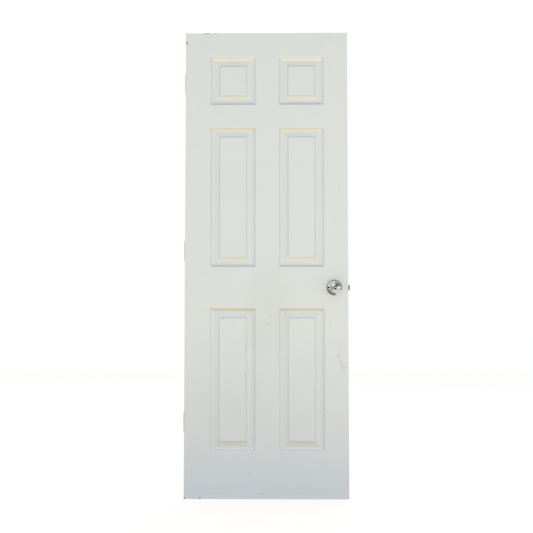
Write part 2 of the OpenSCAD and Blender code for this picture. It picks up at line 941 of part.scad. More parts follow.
// Four bars behind the bolt and the two cross pins that the fingers push
module latch_retractor() {
    bar_start = cross_pin_x - cross_pin_r - past;
    color(steel)
        at_lock()
            for (side = [-1, 1]) {
                for (face = [0, 1])
                    mirror([0, face, 0])
                        translate([bar_start, bar_y, side * cross_pin_z - bar_h / 2])
                            cube([bolt_back - bar_start, bar_t, bar_h]);
                translate([cross_pin_x, 0, side * cross_pin_z])
                    rotate([90, 0, 0])
                        cylinder(r = cross_pin_r, h = 2 * (bar_y + bar_t), center = true);
            }
}

// The hub with its two fingers, turned on the spindle
module latch_hub() {
    finger = finger_r - finger_w / 2;
    color(steel)
        at_lock()
            difference() {
                union() {
                    rotate([90, 0, 0]) cylinder(r = hub_r, h = 2 * case_y + 2, center = true);
                    for (side = [-1, 1])
                        rotate([0, side * finger_angle, 0]) {
                            translate([0, 0, side * finger / 2])
                                cube([finger_w, finger_t, finger], center = true);
                            translate([0, 0, side * finger])
                                rotate([90, 0, 0])
                                    cylinder(r = finger_w / 2, h = finger_t, center = true);
                        }
                }
                cube([spindle_w + 2 * seat_gap, 2 * tube_r, spindle_w + 2 * seat_gap], center = true);
            }
}

// A coil between its seat in the tube and the back of the bolt, swept as a chain of rings
module latch_spring() {
    steps = 14;
    sides = 6;
    start = spring_seat_x + case_wall / 2 + spring_wire_r;
    travel = bolt_back - spring_wire_r - start;
    rings = spring_turns * steps;
    points = [
        for (i = [0 : rings])
            for (j = [0 : sides - 1])
                let (a = 360 * i / steps, b = 360 * j / sides, r = spring_r + spring_wire_r * cos(b))
                    [start + travel * i / rings + spring_wire_r * sin(b), r * cos(a), r * sin(a)]
    ];
    walls = [
        for (i = [0 : rings - 1])
            for (j = [0 : sides - 1])
                let (k = (j + 1) % sides)
                    [i * sides + j, i * sides + k, (i + 1) * sides + k, (i + 1) * sides + j]
    ];
    first = [for (j = [sides - 1 : -1 : 0]) j];
    last = [for (j = [0 : sides - 1]) rings * sides + j];
    color(steel)
        at_lock() polyhedron(points, concat([first], walls, [last]));
}

front_skin();
back_skin();
hinge_stile();
lock_stile();
top_rail();
bottom_rail();
lock_block();
card_core();
bottom_door_leaf();
middle_door_leaf();
top_door_leaf();
bottom_frame_leaf();
middle_frame_leaf();
top_frame_leaf();
hinge_pins();
hinge_screws();
front_rose();
back_rose();
rose_posts();
rose_screws();
front_knob();
back_knob();
spindle();
turn_button();
locking_rod();
latch_housing();
latch_faceplate();
latch_screws();
latch_bolt();
latch_retractor();
latch_hub();
latch_spring();
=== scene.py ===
"""Looks of a painted six-panel interior door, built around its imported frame."""

import math

import bmesh
import bpy
from mathutils import Matrix, Vector


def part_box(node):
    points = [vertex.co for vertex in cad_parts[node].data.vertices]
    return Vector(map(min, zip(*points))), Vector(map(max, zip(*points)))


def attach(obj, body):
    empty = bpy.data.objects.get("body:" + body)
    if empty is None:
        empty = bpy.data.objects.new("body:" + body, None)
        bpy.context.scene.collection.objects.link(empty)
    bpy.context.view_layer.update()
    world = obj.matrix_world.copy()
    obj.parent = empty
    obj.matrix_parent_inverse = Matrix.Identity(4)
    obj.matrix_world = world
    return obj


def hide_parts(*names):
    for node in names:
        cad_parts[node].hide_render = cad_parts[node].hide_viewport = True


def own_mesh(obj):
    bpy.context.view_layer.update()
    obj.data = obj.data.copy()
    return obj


bl_info = {
    "name": "Six-panel door looks",
    "version": (1, 0, 0),
    "blender": (4, 5, 0),
    "location": "View3D > Sidebar > Door",
    "description": "Builds the moulded faces, the knob set and the finishes of a painted door",
    "category": "Object",
}

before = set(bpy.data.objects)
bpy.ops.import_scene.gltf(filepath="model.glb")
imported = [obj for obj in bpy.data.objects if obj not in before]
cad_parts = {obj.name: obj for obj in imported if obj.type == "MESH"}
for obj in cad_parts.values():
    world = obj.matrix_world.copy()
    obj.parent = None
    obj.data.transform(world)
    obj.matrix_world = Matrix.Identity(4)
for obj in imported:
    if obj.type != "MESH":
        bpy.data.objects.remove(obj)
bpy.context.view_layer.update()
FACE_LOW, FACE_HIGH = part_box("front_skin")
ROSE_LOW, ROSE_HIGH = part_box("front_rose")
DOOR_W = FACE_HIGH[0] - FACE_LOW[0]
DOOR_H = FACE_HIGH[2] - FACE_LOW[2]
LOCK_X = (ROSE_LOW[0] + ROSE_HIGH[0]) / 2
LOCK_Z = (ROSE_LOW[2] + ROSE_HIGH[2]) / 2
MM = 0.001
FRONT = -1
BACK = 1
X_AXIS = Vector((1, 0, 0))
Z_AXIS = Vector((0, 0, 1))

# Marks on the front paint: middle x and z, half length and half width in mm,
# turn in degrees, and how strongly the mark covers the paint
CHIPS = (
    (-351, 1988, 7, 3.2, 90, 1),
    (-354, 2030, 5, 3, 40, 0.9),
    (-262, 2030.4, 21, 2.2, 1, 0.8),
    (-228, 2030.8, 7, 1.7, -3, 0.6),
    (-352.5, 3.5, 5, 4, 60, 1),
    (-286.5, 3, 5.5, 3, 8, 0.9),
    (-88.7, 643, 17, 1, 91, 0.6),
    (-90.6, 529, 6.5, 1.2, 85, 0.6),
)
SCUFFS_AND_SHADE = (
    (16, 784, 13, 9, 60, 0.14),
    (40, 777, 8, 6, 20, 0.10),
    (-6, 762, 8, 5, 75, 0.10),
    (8, 753, 11, 7, 25, 0.14),
    # Painted shade: a broad faint darkening over the middle of the door
    (10, 805, 250, 125, 90, 0.07),
    (310, 615, 9, 7, -60, 0.30),
    (324, 580, 46, 6, -68, 0.22),
    (343, 563, 12, 3.5, 8, 0.22),
    (318, 645, 10, 8, 30, 0.10),
    (277, 750, 14, 9, 80, 0.11),
    (-353.5, 2008, 22, 1.8, 90, 0.4),
    (318, 1339, 11, 8, 70, 0.10),
    (290, 1196, 26, 12, 65, 0.06),
    (248.4, 385, 5, 3, 20, 0.5),
    (-66.5, 106, 8, 2.6, 85, 0.4),
    (-17.3, 25, 10, 6, 10, 0.26),
)
SCRATCHES = (
    (-233, 72, 34, 0.9, 18.3, 0.6),
    (-226, 80, 22, 0.7, 24, 0.5),
)

# How far a surface faces up or out, as part of its normal, where a painted light or shade, with some
# dirt in the creases, starts and where it is full
LEDGE_TILT = (0.24, 0.34)
SKY_LIT_TILT = (0.12, 0.3)
UNDER_TILT = (-0.12, -0.34)
UNDERSIDE_SHADE_TILT = (-0.2, -0.3)
CREASE_UP_TILT = (0.3, 0.5)
CREASE_DOWN_TILT = (-0.3, -0.5)
STEEP_TILT = (0.94, 0.68)

# Heights in m where a painted shade or painted light starts and where it is full
FOOT_BAND = (0.0, 0.28)
LOW_BAND = (0.26, 0.82)
UNDERSIDE_SHADE_BAND = (0.9, 0.75)
SKY_LIT_BAND = (0.95, 0.5)
TOPMOST_BAND = (1.80, 1.90)

# Depths under the face between which the crease round a panel's field lies
CREASE_TOP = (2.2 * MM, 3.5 * MM)
CREASE_FOOT = (4.8 * MM, 3.9 * MM)

# Distances behind the slab's middle where the hinge knuckles begin
KNUCKLE_BAND = (26.0 * MM, 30.0 * MM)

# Noise patterns: scale per m, detail and roughness
CLOUD = (2.6, 3, 0.5)
MOTTLE = (11, 4, 0.6)
PATCHES = (26, 4, 0.5)
EDGE_WEAR = (45, 5, 0.7)
COAT_WEAR = (38, 5, 0.7)
HINGE_WEAR = (85, 5, 0.65)
RAGGED_EDGE = (260, 4, 0.65)
FINE_STIPPLE = (620, 2, 0.5)
WIDE_STIPPLE = (90, 2, 0.5)
CARD_FLECKS = (240, 5, 0.7)
DRAWN_LINES = (130, 3, 0.5)
TARNISH = (55, 4, 0.6)
FLOOR_WEAR = (1.5, 3, 0.5)

# Roughness of each finish where its pattern is weakest and where it is strongest
PAINT_ROUGH = (0.46, 0.34)
COAT_ROUGH = (0.72, 0.45)
WOOD_ROUGH = (0.74, 0.62)
CARD_ROUGH = (0.8, 0.92)
CHROME_ROUGH = (0.05, 0.17)
DARK_ROUGH = (0.3, 0.45)
BOLT_ROUGH = (0.28, 0.45)
PLATE_ROUGH = (0.24, 0.38)
ZINC_ROUGH = (0.32, 0.5)
HINGE_ROUGH = (0.46, 0.32)

# Fineness of the round shapes
BORE_CUTS = 11
KNOB_TURNS = 96
FLARE_STEPS = 28
BROW_STEPS = 16
DISH_STEPS = 14
CAP_TURNS = 64
GRIP_STEPS = 20
COIL_STEPS = 24
WIRE_STEPS = 10

# Gaps in m under which points count as one: in a CAD node, in a made shape, at the grip's tips
JOIN_GAP = 2e-6
POINT_GAP = 1e-7
TIP_GAP = 1e-6

# Angles in degrees from which the edges of a shape stay sharp, and from which an arris is rounded
NODE_SHARP = 32
FACE_SHARP = 24
TURNED_SHARP = 30
WIRE_SHARP = 50
ARRIS_SHARP = 60

# Sockets of a mix node that take and give colours
MIX_FIRST = 6
MIX_SECOND = 7
MIX_RESULT = 2

# Soft square lamps: name, place, side in m, power in W
LAMPS = (
    ("front_key", (0.85, -3.5, 1.0), 2.2, 20.4),
    ("back_key", (0.9, 3.6, 1.5), 2.4, 20.0),
)
LAMP_AIM = (0, 0, 1.0)
LAMP_TINT = (1.0, 0.99, 0.97)

# Cards that only polished metal sees: name, middle, width and depth in m,
# turn about X and about Y in degrees, screen colour
CARDS = (
    ("high_card", (0.3, -0.9, 3.2), (6.4, 2.6), (0, 0), (120, 138, 158)),
    ("low_sky_card", (0.3, -5.4, 3.4), (9.0, 3.4), (-60, 0), (204, 214, 230)),
    ("brown_ground_card", (-1.95, -2.6, 0.02), (5.0, 5.2), (0, 0), (140, 124, 100)),
    ("cream_ground_card", (2.85, -2.6, 0.02), (4.6, 5.2), (0, 0), (255, 248, 228)),
    ("side_card", (3.4, -1.3, 1.5), (4.0, 3.8), (0, 90), (114, 120, 118)),
    ("far_side_card", (3.4, -5.6, 1.5), (4.0, 4.8), (0, 90), (184, 190, 194)),
    ("left_card", (-3.4, -1.3, 1.5), (4.0, 3.8), (0, 90), (168, 172, 164)),
    ("back_high_card", (0.3, 0.9, 3.2), (6.4, 2.6), (0, 0), (120, 138, 158)),
    ("back_ground_card", (0.0, 2.6, 0.02), (9.2, 5.2), (0, 0), (168, 158, 140)),
)

# The floor: side, gap under the door, glow that the camera sees, warm glow that lights the door
FLOOR_SIDE = 60.0
FLOOR_GAP = 0.4 * MM
FLOOR_GLOW = 0.57
FLOOR_BOUNCE = 0.62
FLOOR_WARMTH = (1.0, 0.88, 0.76, 1.0)

# The even light from all round, and the background
SKY = (0.67, 0.74, 0.81, 1.0)
WHITE = (1, 1, 1, 1)

# The photograph's view: place in m, tilt and turn in degrees, lens and sensor in mm
VIEW_PLACE = (0.0331, -3.0175, 0.8622)
VIEW_TILT = 92.606
VIEW_TURN = 0.624
VIEW_LENS = 46.591
VIEW_SENSOR = 36.0


def linear(red, green, blue):
    """A colour given as 0 to 255 screen values, in the linear values that a shader takes."""
    levels = (red / 255, green / 255, blue / 255)
    return tuple(v / 12.92 if v <= 0.04045 else ((v + 0.055) / 1.055) ** 2.4 for v in levels)


def length(name, description, millimetres):
    """A property that holds a length in m, given in mm."""
    return bpy.props.FloatProperty(
        name=name, description=description, default=millimetres * MM, unit="LENGTH", precision=4)


def share(name, description, default):
    """A property that holds a share from 0 to 1."""
    return bpy.props.FloatProperty(
        name=name, description=description, default=default, min=0, max=1)


def colour(name, description, *screen):
    """A property that holds a colour, given as 0 to 255 screen values."""
    return bpy.props.FloatVectorProperty(
        name=name, description=description, default=linear(*screen), subtype="COLOR", min=0, max=1)


class FaceSizes(bpy.types.PropertyGroup):
    """Sizes of the moulded faces."""
    hinge_stile: length("Hinge stile", "Flat face at the hinges", 107.5)
    lock_stile: length("Lock stile", "Flat face at the knob", 100.5)
    mullion: length("Mullion", "Flat face between the panels", 97)
    top_rail: length("Top rail", "Flat face over the top panels", 105)
    top_panel: length("Top panel", "Height of the top panels", 217.5)
    frieze: length("Frieze rail", "Flat face under the top panels", 98)
    lock_rail: length("Lock rail", "Flat face at the knob's height", 176)
    bottom_panel: length("Bottom panel", "Height of the bottom panels", 618.5)
    bottom_rail: length("Bottom rail", "Flat face under the bottom panels", 200.5)
    ogee_w: length("Ogee width", "Width of the curve down from the face", 21)
    ogee_d: length("Ogee depth", "Depth of the curve down from the face", 9)
    ogee_brow: length("Ogee brow", "Run of the curve before it drops", 5)
    ogee_sweep: length("Ogee sweep", "Length of the sweep at the curve's foot", 15.5)
    ogee_fall: length("Ogee fall", "How far the sweep still falls", 1.4)
    valley_w: length("Valley width", "Flat at the bottom of the moulding", 1)
    bevel_w: length("Bevel width", "Slope up towards the panel's field", 19.5)
    step_w: length("Step width", "Width of the curve up to the field", 4.5)
    step_d: length("Step height", "Height of the curve up to the field", 2.8)
    field_drop: length("Field drop", "Depth of the field under the face", 1)
    skin: length("Skin", "Thickness of the face", 3.2)
    bore: length("Cross bore", "Radius of the hole behind the rose", 27)
    bore_cell: length("Bore cell", "Half side of the flat that the bore is cut in", 32.4)
    edge_rub: length("Edge rub", "How far in the paint is worn at the slab's edges", 2.2)
    arris: length("Arris", "Rounding of the sharp edges", 0.6)
    curve_steps: bpy.props.IntProperty(
        name="Curve steps", description="Facets along half of an ogee", default=8, min=3, max=16)


class KnobSizes(bpy.types.PropertyGroup):
    """Sizes of the knobs, the turn button, the painted shade beside the rose's screws and the latch
    spring.
    """
    foot: length("Foot", "Height of the shank's foot above the face", 2)
    shank: length("Shank", "Radius of the shank", 13)
    neck: length("Neck", "Height at which the shank starts to flare", 11.5)
    neck_pull: length("Neck pull", "How straight the flare starts", 14)
    wide: length("Widest height", "Height of the widest part", 49)
    radius: length("Radius", "Radius of the widest part", 25.5)
    flare_pull: length("Flare pull", "How straight the flare ends", 20)
    brow_pull: length("Brow pull", "How round the brow is at the side", 5)
    rim: length("Rim", "Radius of the rim round the dish", 21)
    rim_pull: length("Rim pull", "How round the brow is at the rim", 2.5)
    height: length("Height", "Height of the rim above the face", 60)
    dish: length("Dish", "Depth of the dished face", 4.5)
    button_bore: length("Button bore", "Radius of the bore for the turn button", 6.05)
    release_bore: length("Release bore", "Radius of the release hole in the back knob", 2.4)
    wall: length("Wall", "Thickness of the dished face", 1.8)
    button: length("Button", "Radius of the turn button's shaft", 6)
    button_foot: length("Button foot", "Height at which the shaft starts", 38)
    cap: length("Cap", "Radius of the turn button's cap", 8)
    cap_t: length("Cap thickness", "Thickness of the cap", 1.2)
    cap_gap: length("Cap gap", "Gap between the cap and the dish", 0.3)
    cap_edge: length("Cap edge", "Rounding of the cap's edge", 0.4)
    grip_l: length("Grip length", "Length of the lens-shaped grip", 15.5)
    grip_w: length("Grip width", "Width of the lens-shaped grip", 6)
    grip_h: length("Grip height", "Height of the grip above the cap", 4)
    grip_edge: length("Grip edge", "Rounding of the grip's edge", 0.9)
    # Painted shade in the recesses beside the rose's screws
    recess_shade_x: length("Grime distance", "Distance of the grime from the rose's middle", 26.4)
    recess_shade: length("Grime", "Radius of the grime beside each rose screw", 5)
    recess_shade_core: length("Grime core", "Radius inside which the grime is solid", 3.8)
    wire: length("Spring wire", "Radius of the latch spring's wire", 0.45)
    coils: bpy.props.IntProperty(
        name="Spring coils", description="Turns of the latch spring", default=6, min=3, max=9)


class DoorColours(bpy.types.PropertyGroup):
    """Colours of the finishes, and of the painted light and shade."""
    paint: colour("Paint", "White paint of the upper part", 219, 222, 217)
    # Painted shade: the paint greys towards the floor, where less light falls
    paint_low_shaded: colour("Paint, low", "Greyer paint at knee height", 208, 212, 210)
    paint_foot_shaded: colour("Paint, foot", "Grey paint above the floor", 196, 203, 210)
    board: colour("Board", "Board that shows in a chip", 92, 80, 68)
    # Scuffs, and the painted shade over the middle of the door
    scuff_and_shade: colour("Scuff", "Dark rub on the paint", 150, 148, 142)
    mottle: colour("Mottle", "Faint cloudiness of the paint", 170, 168, 158)
    # Painted cool shade on the ledges that face up and on the steep parts of the mouldings
    cool_shade: colour("Dust", "Grey dust on the ledges", 152, 170, 194)
    # Dirt and painted shade in the crease round a panel's field
    crease_dirt_and_shade: colour("Hollow", "Dirt in the crease round a panel's field", 140, 150, 146)
    # Stain and painted warm shade in the crease where it faces down
    crease_stain_and_shade: colour("Stain", "Stain in the crease where it faces down", 170, 150, 95)
    # Painted sky light: the ledges near the floor stay lighter than the shaded paint round them
    sky_lit_ledge: colour("Wiped", "Paint kept clean on the ledges near the floor", 216, 224, 229)
    # Painted warm light from the ground on the undersides of the mouldings
    ground_lit: colour("Yellowed paint", "Paint that has yellowed where no light falls", 230, 220, 180)
    # Painted light on the undersides of the topmost mouldings
    top_underside_lit: colour("Fresh paint", "Paint kept fresh under the topmost mouldings", 255, 255, 247)
    # Painted shade on the undersides of the mouldings near the floor
    underside_shade: colour("Grubby paint", "Grime under the mouldings near the floor", 98, 104, 126)
    scratch: colour("Scratch", "Pale scratch in the paint", 232, 233, 230)
    hinge: colour("Hinge paint", "Fresher white on the hinges", 240, 241, 238)
    softwood: colour("Softwood", "Bare frame wood", 214, 180, 132)
    softwood_line: colour("Softwood line", "Late wood of the grain", 172, 128, 82)
    card: colour("Card", "Card of the core", 178, 146, 102)
    card_fleck: colour("Card fleck", "Fibres in the card", 122, 94, 60)
    chrome: colour("Chrome", "Polished plate", 226, 228, 230)
    smear: colour("Smear", "Film of handling on the plate", 188, 186, 180)
    # Painted shade in the recesses beside the rose's screws
    recess_shade: colour("Grime", "Grime beside the rose's screws", 30, 31, 28)
    steel: colour("Steel", "Dull zinc on the hidden parts", 158, 160, 160)
    bolt: colour("Bolt", "Dark worn metal of the bolt", 150, 150, 150)
    # Painted shade: the rose's screws and the turn button's cap are near black where they lie in shade
    shade_dark: colour("Dark plate", "Blackened screws and cap of the knob set", 40, 40, 42)
    floor: colour("Floor", "Pale floor", 208, 199, 190)
    floor_worn: colour("Worn floor", "Slightly darker patches of the floor", 202, 194, 186)


class DoorWear(bpy.types.PropertyGroup):
    """How strongly the dirt, the wear of the paint and the painted light and shade show."""
    # Strength of the painted cool shade on the ledges
    cool_shade: share("Dust", "Dust on the ledges", 0.21)
    # Strength of the painted cool shade on the steep parts of the mouldings
    steep: share("Steep dust", "Dust on the steep parts of the mouldings", 0.06)
    # Strengths of the dirt and painted shade in the upright creases and in those that face up
    crease: share("Creases", "Dirt in the upright creases", 0.22)
    low_crease_dirt_and_shade: share("Lower creases", "Dirt in the creases that face up", 0.66)
    # Strength of the stain and painted shade in the creases that face down
    crease_stain_and_shade: share("Stain", "Stain in the creases that face down", 0.15)
    # Strength of the painted warm light under the mouldings
    ground_lit: share("Yellowing", "Yellowing under the mouldings", 0.50)
    # Strength of the painted light under the topmost mouldings
    top_underside_lit: share("Freshness", "Fresh paint under the topmost mouldings", 0.21)
    # Strength of the painted shade under the mouldings near the floor
    underside_shade: share("Grubbiness", "Grime under the mouldings near the floor", 0.27)
    # Strength of the painted sky light on the ledges near the floor
    sky_lit_ledge: share("Wiping", "Clean ledges near the floor", 0.75)
    board: share("Bare edges", "Board that shows where the edges are worn", 0.55)


def plug(tree, socket, value):
    """Links a socket to another one, or sets it to a constant."""
    if isinstance(value, bpy.types.NodeSocket):
        tree.links.new(value, socket)
    else:
        socket.default_value = value


def put(tree, kind, sockets=None, **settings):
    """A node with its settings, its constants and its links."""
    node = tree.nodes.new(kind)
    for key, value in settings.items():
        setattr(node, key, value)
    for key, value in (sockets or {}).items():
        plug(tree, node.inputs[key], value)
    return node


def axis(tree, vector, letter):
    """One part of a vector."""
    return put(tree, "ShaderNodeSeparateXYZ", {0: vector}).outputs[letter]


def sums(tree, operation, first, second=0.0, third=0.0):
    """The result of a math node."""
    node = put(tree, "ShaderNodeMath", {0: first, 1: second, 2: third}, operation=operation)
    return node.outputs[0]


def times(tree, first, second):
    """Two values multiplied."""
    return sums(tree, "MULTIPLY", first, second)


def fade(tree, value, start, end, low=0.0, high=1.0):
    """A value mapped smoothly from one range to another."""
    node = put(tree, "ShaderNodeMapRange", {
        "Value": value, "From Min": start, "From Max": end, "To Min": low, "To Max": high},
        interpolation_type="SMOOTHSTEP")
    return node.outputs["Result"]


def ramp(tree, value, start, end):
    """A value mapped evenly from a range to 0 to 1."""
    node = put(tree, "ShaderNodeMapRange", {"Value": value, "From Min": start, "From Max": end})
    return node.outputs["Result"]


def blended(tree, mask, first, second):
    """Two colours mixed by a mask."""
    node = put(tree, "ShaderNodeMix", {0: mask}, data_type="RGBA")
    for key, tint in ((MIX_FIRST, first), (MIX_SECOND, second)):
        linked = isinstance(tint, bpy.types.NodeSocket)
        plug(tree, node.inputs[key], tint if linked else (*tint[:3], 1.0))
    return node.outputs[MIX_RESULT]


def noise(tree, place, scale, detail=2.0, roughness=0.5):
    """The height of a noise at a place."""
    node = put(tree, "ShaderNodeTexNoise", {
        "Vector": place, "Scale": scale, "Detail": detail, "Roughness": roughness})
    return node.outputs[0]


def group(name, vectors, values, answer):
    """An empty shader node group that takes vectors and values and gives one value."""
    tree = bpy.data.node_groups.new(name, "ShaderNodeTree")
    for label in vectors:
        tree.interface.new_socket(label, in_out="INPUT", socket_type="NodeSocketVector")
    for label in values:
        tree.interface.new_socket(label, in_out="INPUT", socket_type="NodeSocketFloat")
    tree.interface.new_socket(answer, in_out="OUTPUT", socket_type="NodeSocketFloat")
    given = tree.nodes.new("NodeGroupInput").outputs
    return tree, given, tree.nodes.new("NodeGroupOutput").inputs[answer]


def mark_group():
    """A ragged oval mark on a face: where it is, how long, how wide and how turned."""
    tree, given, result = group(
        "Ragged mark", ("Place", "Middle"),
        ("Half length", "Half width", "Turn", "Ragged", "Depth"), "Mask")
    away = put(
        tree, "ShaderNodeVectorMath", {0: given["Place"], 1: given["Middle"]}, operation="SUBTRACT")
    turned = put(tree, "ShaderNodeVectorRotate", {
        "Vector": away.outputs[0], "Angle": given["Turn"]}, rotation_type="Y_AXIS")
    along = sums(tree, "DIVIDE", axis(tree, turned.outputs[0], "X"), given["Half length"])
    across = sums(tree, "DIVIDE", axis(tree, turned.outputs[0], "Z"), given["Half width"])
    squares = sums(tree, "ADD", times(tree, along, along), times(tree, across, across))
    reach = sums(tree, "SQRT", squares)
    rough = sums(tree, "SUBTRACT", noise(tree, given["Place"], *RAGGED_EDGE), 0.5)
    edge = sums(tree, "MULTIPLY_ADD", rough, given["Ragged"], reach)
    mask = fade(tree, edge, 1.05, 0.55)
    plug(tree, result, times(tree, mask, given["Depth"]))
    return tree


def handling_group():
    """Faint prints and smears of handling, as a mask."""
    tree, given, result = group("Handling", ("Place",), ("Scale",), "Mask")
    wide = noise(tree, given["Place"], given["Scale"], 3.0)
    fine = noise(tree, given["Place"], times(tree, given["Scale"], 7.0), 4.0)
    plug(tree, result, times(tree, fade(tree, wide, 0.42, 0.66), fine))
    return tree


def stipple_group():
    """The fine relief that a roller leaves in paint, as a height."""
    tree, given, result = group("Roller stipple", ("Place",), (), "Height")
    fine = noise(tree, given["Place"], *FINE_STIPPLE)
    wide = noise(tree, given["Place"], *WIDE_STIPPLE)
    plug(tree, result, sums(tree, "MULTIPLY_ADD", wide, 0.8, fine))
    return tree


def grain_group():
    """Straight softwood grain along Z, as a mask of the late wood."""
    tree, given, result = group("Softwood grain", ("Place",), (), "Mask")
    drawn = put(tree, "ShaderNodeMapping", {"Vector": given["Place"], "Scale": (60.0, 60.0, 1.6)})
    sway = noise(tree, drawn.outputs[0], 1.0, 2.0)
    depth = axis(tree, given["Place"], "Y")
    ring = sums(tree, "MULTIPLY_ADD", depth, 190.0, times(tree, sway, 3.2))
    late = fade(tree, sums(tree, "FRACT", ring), 0.25, 0.95)
    fibre = noise(tree, drawn.outputs[0], 9.0, 3.0)
    plug(tree, result, times(tree, late, sums(tree, "MULTIPLY_ADD", fibre, 0.6, 0.4)))
    return tree


GROUP_MAKERS = {
    "Ragged mark": mark_group,
    "Handling": handling_group,
    "Roller stipple": stipple_group,
    "Softwood grain": grain_group,
}


def effect(tree, name, sockets):
    """A shared effect placed in a material with its own values."""
    shared = bpy.data.node_groups.get(name) or GROUP_MAKERS[name]()
    return put(tree, "ShaderNodeGroup", sockets, node_tree=shared).outputs[0]


def blank(name):
    """A new material with its tree, its shader and the object's coordinates."""
    material = bpy.data.materials.new(name)
    material.use_nodes = True
    tree = material.node_tree
    shader = tree.nodes["Principled BSDF"]
    place = tree.nodes.new("ShaderNodeTexCoord").outputs["Object"]
    return material, tree, shader, place


def feed(
        tree, shader, base=None, rough=None, height=None, metal=None, relief=0.1, distance=0.2 * MM):
    """Gives a shader its colour, roughness, metal and relief."""
    for key, value in (("Base Color", base), ("Roughness", rough), ("Metallic", metal)):
        if value is not None:
            plug(tree, shader.inputs[key], value)
    if height is not None:
        bump = put(tree, "ShaderNodeBump", {"Height": height, "Strength": relief, "Distance": distance})
        tree.links.new(bump.outputs[0], shader.inputs["Normal"])


def marked(tree, place, base, marks, tint, ragged):
    """A colour with a row of marks on it."""
    for x, z, half_length, half_width, turn, depth in marks:
        mask = effect(tree, "Ragged mark", {
            "Place": place, "Middle": (x * MM, FACE_LOW[1], z * MM), "Turn": math.radians(turn),
            "Half length": half_length * MM, "Half width": half_width * MM,
            "Ragged": ragged, "Depth": depth})
        base = blended(tree, mask, base, tint)
    return base


def flattened(tree, place):
    """A place moved on to the plane of the front face, so that a mark runs straight in."""
    joined = put(tree, "ShaderNodeCombineXYZ", {
        0: axis(tree, place, "X"), 1: FACE_LOW[1], 2: axis(tree, place, "Z")})
    return joined.outputs[0]


def paint_tone(tree, place, colours):
    """The paint's colour by height, greyer towards the floor as painted shade, with faint cloudiness.
    """
    cloud = sums(tree, "SUBTRACT", noise(tree, place, *CLOUD), 0.5)
    height = sums(tree, "MULTIPLY_ADD", cloud, 0.10, axis(tree, place, "Z"))
    # Painted shade: greyer at knee height and greyer still above the floor
    low = blended(tree, ramp(tree, height, *FOOT_BAND), colours.paint_foot_shaded, colours.paint_low_shaded)
    tone = blended(tree, fade(tree, height, *LOW_BAND), low, colours.paint)
    mottle = fade(tree, noise(tree, place, *MOTTLE), 0.3, 0.75, 0.0, 0.03)
    return blended(tree, mottle, tone, colours.mottle)


def facing_shade_and_dirt(tree, place, base, side, colours, wear):
    """A colour with painted light and shade by the way its surfaces face, and with dirt and painted
    shade in its creases.
    """
    height = axis(tree, place, "Z")
    outer = FACE_LOW[1] if side == FRONT else -FACE_LOW[1]
    depth = times(tree, sums(tree, "SUBTRACT", axis(tree, place, "Y"), outer), -side)
    normal = tree.nodes.new("ShaderNodeTexCoord").outputs["Normal"]
    up = axis(tree, normal, "Z")
    out = sums(tree, "ABSOLUTE", axis(tree, normal, "Y"))
    under = fade(tree, up, *UNDER_TILT)
    underside_shade = fade(tree, up, *UNDERSIDE_SHADE_TILT, 0.0, wear.underside_shade)
    ledge = fade(tree, up, *LEDGE_TILT, 0.0, wear.cool_shade)
    patchy = fade(tree, noise(tree, place, *PATCHES), 0.2, 0.8, 0.55, 1.0)
    steep = fade(tree, out, *STEEP_TILT, 0.0, wear.steep)
    crease = times(tree, fade(tree, depth, *CREASE_TOP), fade(tree, depth, *CREASE_FOOT))
    crease_dirt_shade_mask = fade(tree, up, *CREASE_UP_TILT, wear.crease, wear.low_crease_dirt_and_shade)
    crease_stain_shade_mask = fade(tree, up, *CREASE_DOWN_TILT, 0.0, wear.crease_stain_and_shade)
    sky_lit_ledge = fade(tree, up, *SKY_LIT_TILT, 0.0, wear.sky_lit_ledge)
    layers = (
        # Painted warm light under the mouldings
        (times(tree, under, wear.ground_lit), colours.ground_lit),
        # Painted light under the topmost mouldings
        (times(tree, under, fade(tree, height, *TOPMOST_BAND, 0.0, wear.top_underside_lit)), colours.top_underside_lit),
        # Painted shade under the mouldings near the floor
        (times(tree, underside_shade, fade(tree, height, *UNDERSIDE_SHADE_BAND)), colours.underside_shade),
        # Painted cool shade on the ledges and the steep parts
        (sums(tree, "MULTIPLY_ADD", ledge, patchy, steep), colours.cool_shade),
        # Dirt and painted shade in the creases
        (times(tree, crease, crease_dirt_shade_mask), colours.crease_dirt_and_shade),
        # Stain and painted shade in the creases that face down
        (times(tree, crease, crease_stain_shade_mask), colours.crease_stain_and_shade),
        # Painted sky light on the ledges near the floor
        (times(tree, sky_lit_ledge, fade(tree, height, *SKY_LIT_BAND)), colours.sky_lit_ledge),
    )
    for mask, tint in layers:
        base = blended(tree, mask, base, tint)
    return base


def rim_mask(tree, place, reach):
    """How close a place is to the outer edges of the slab, as a mask."""
    side = sums(tree, "SUBTRACT", DOOR_W / 2, sums(tree, "ABSOLUTE", axis(tree, place, "X")))
    middle = sums(tree, "SUBTRACT", axis(tree, place, "Z"), DOOR_H / 2)
    end = sums(tree, "SUBTRACT", DOOR_H / 2, sums(tree, "ABSOLUTE", middle))
    return fade(tree, sums(tree, "MINIMUM", side, end), reach, 0.0)


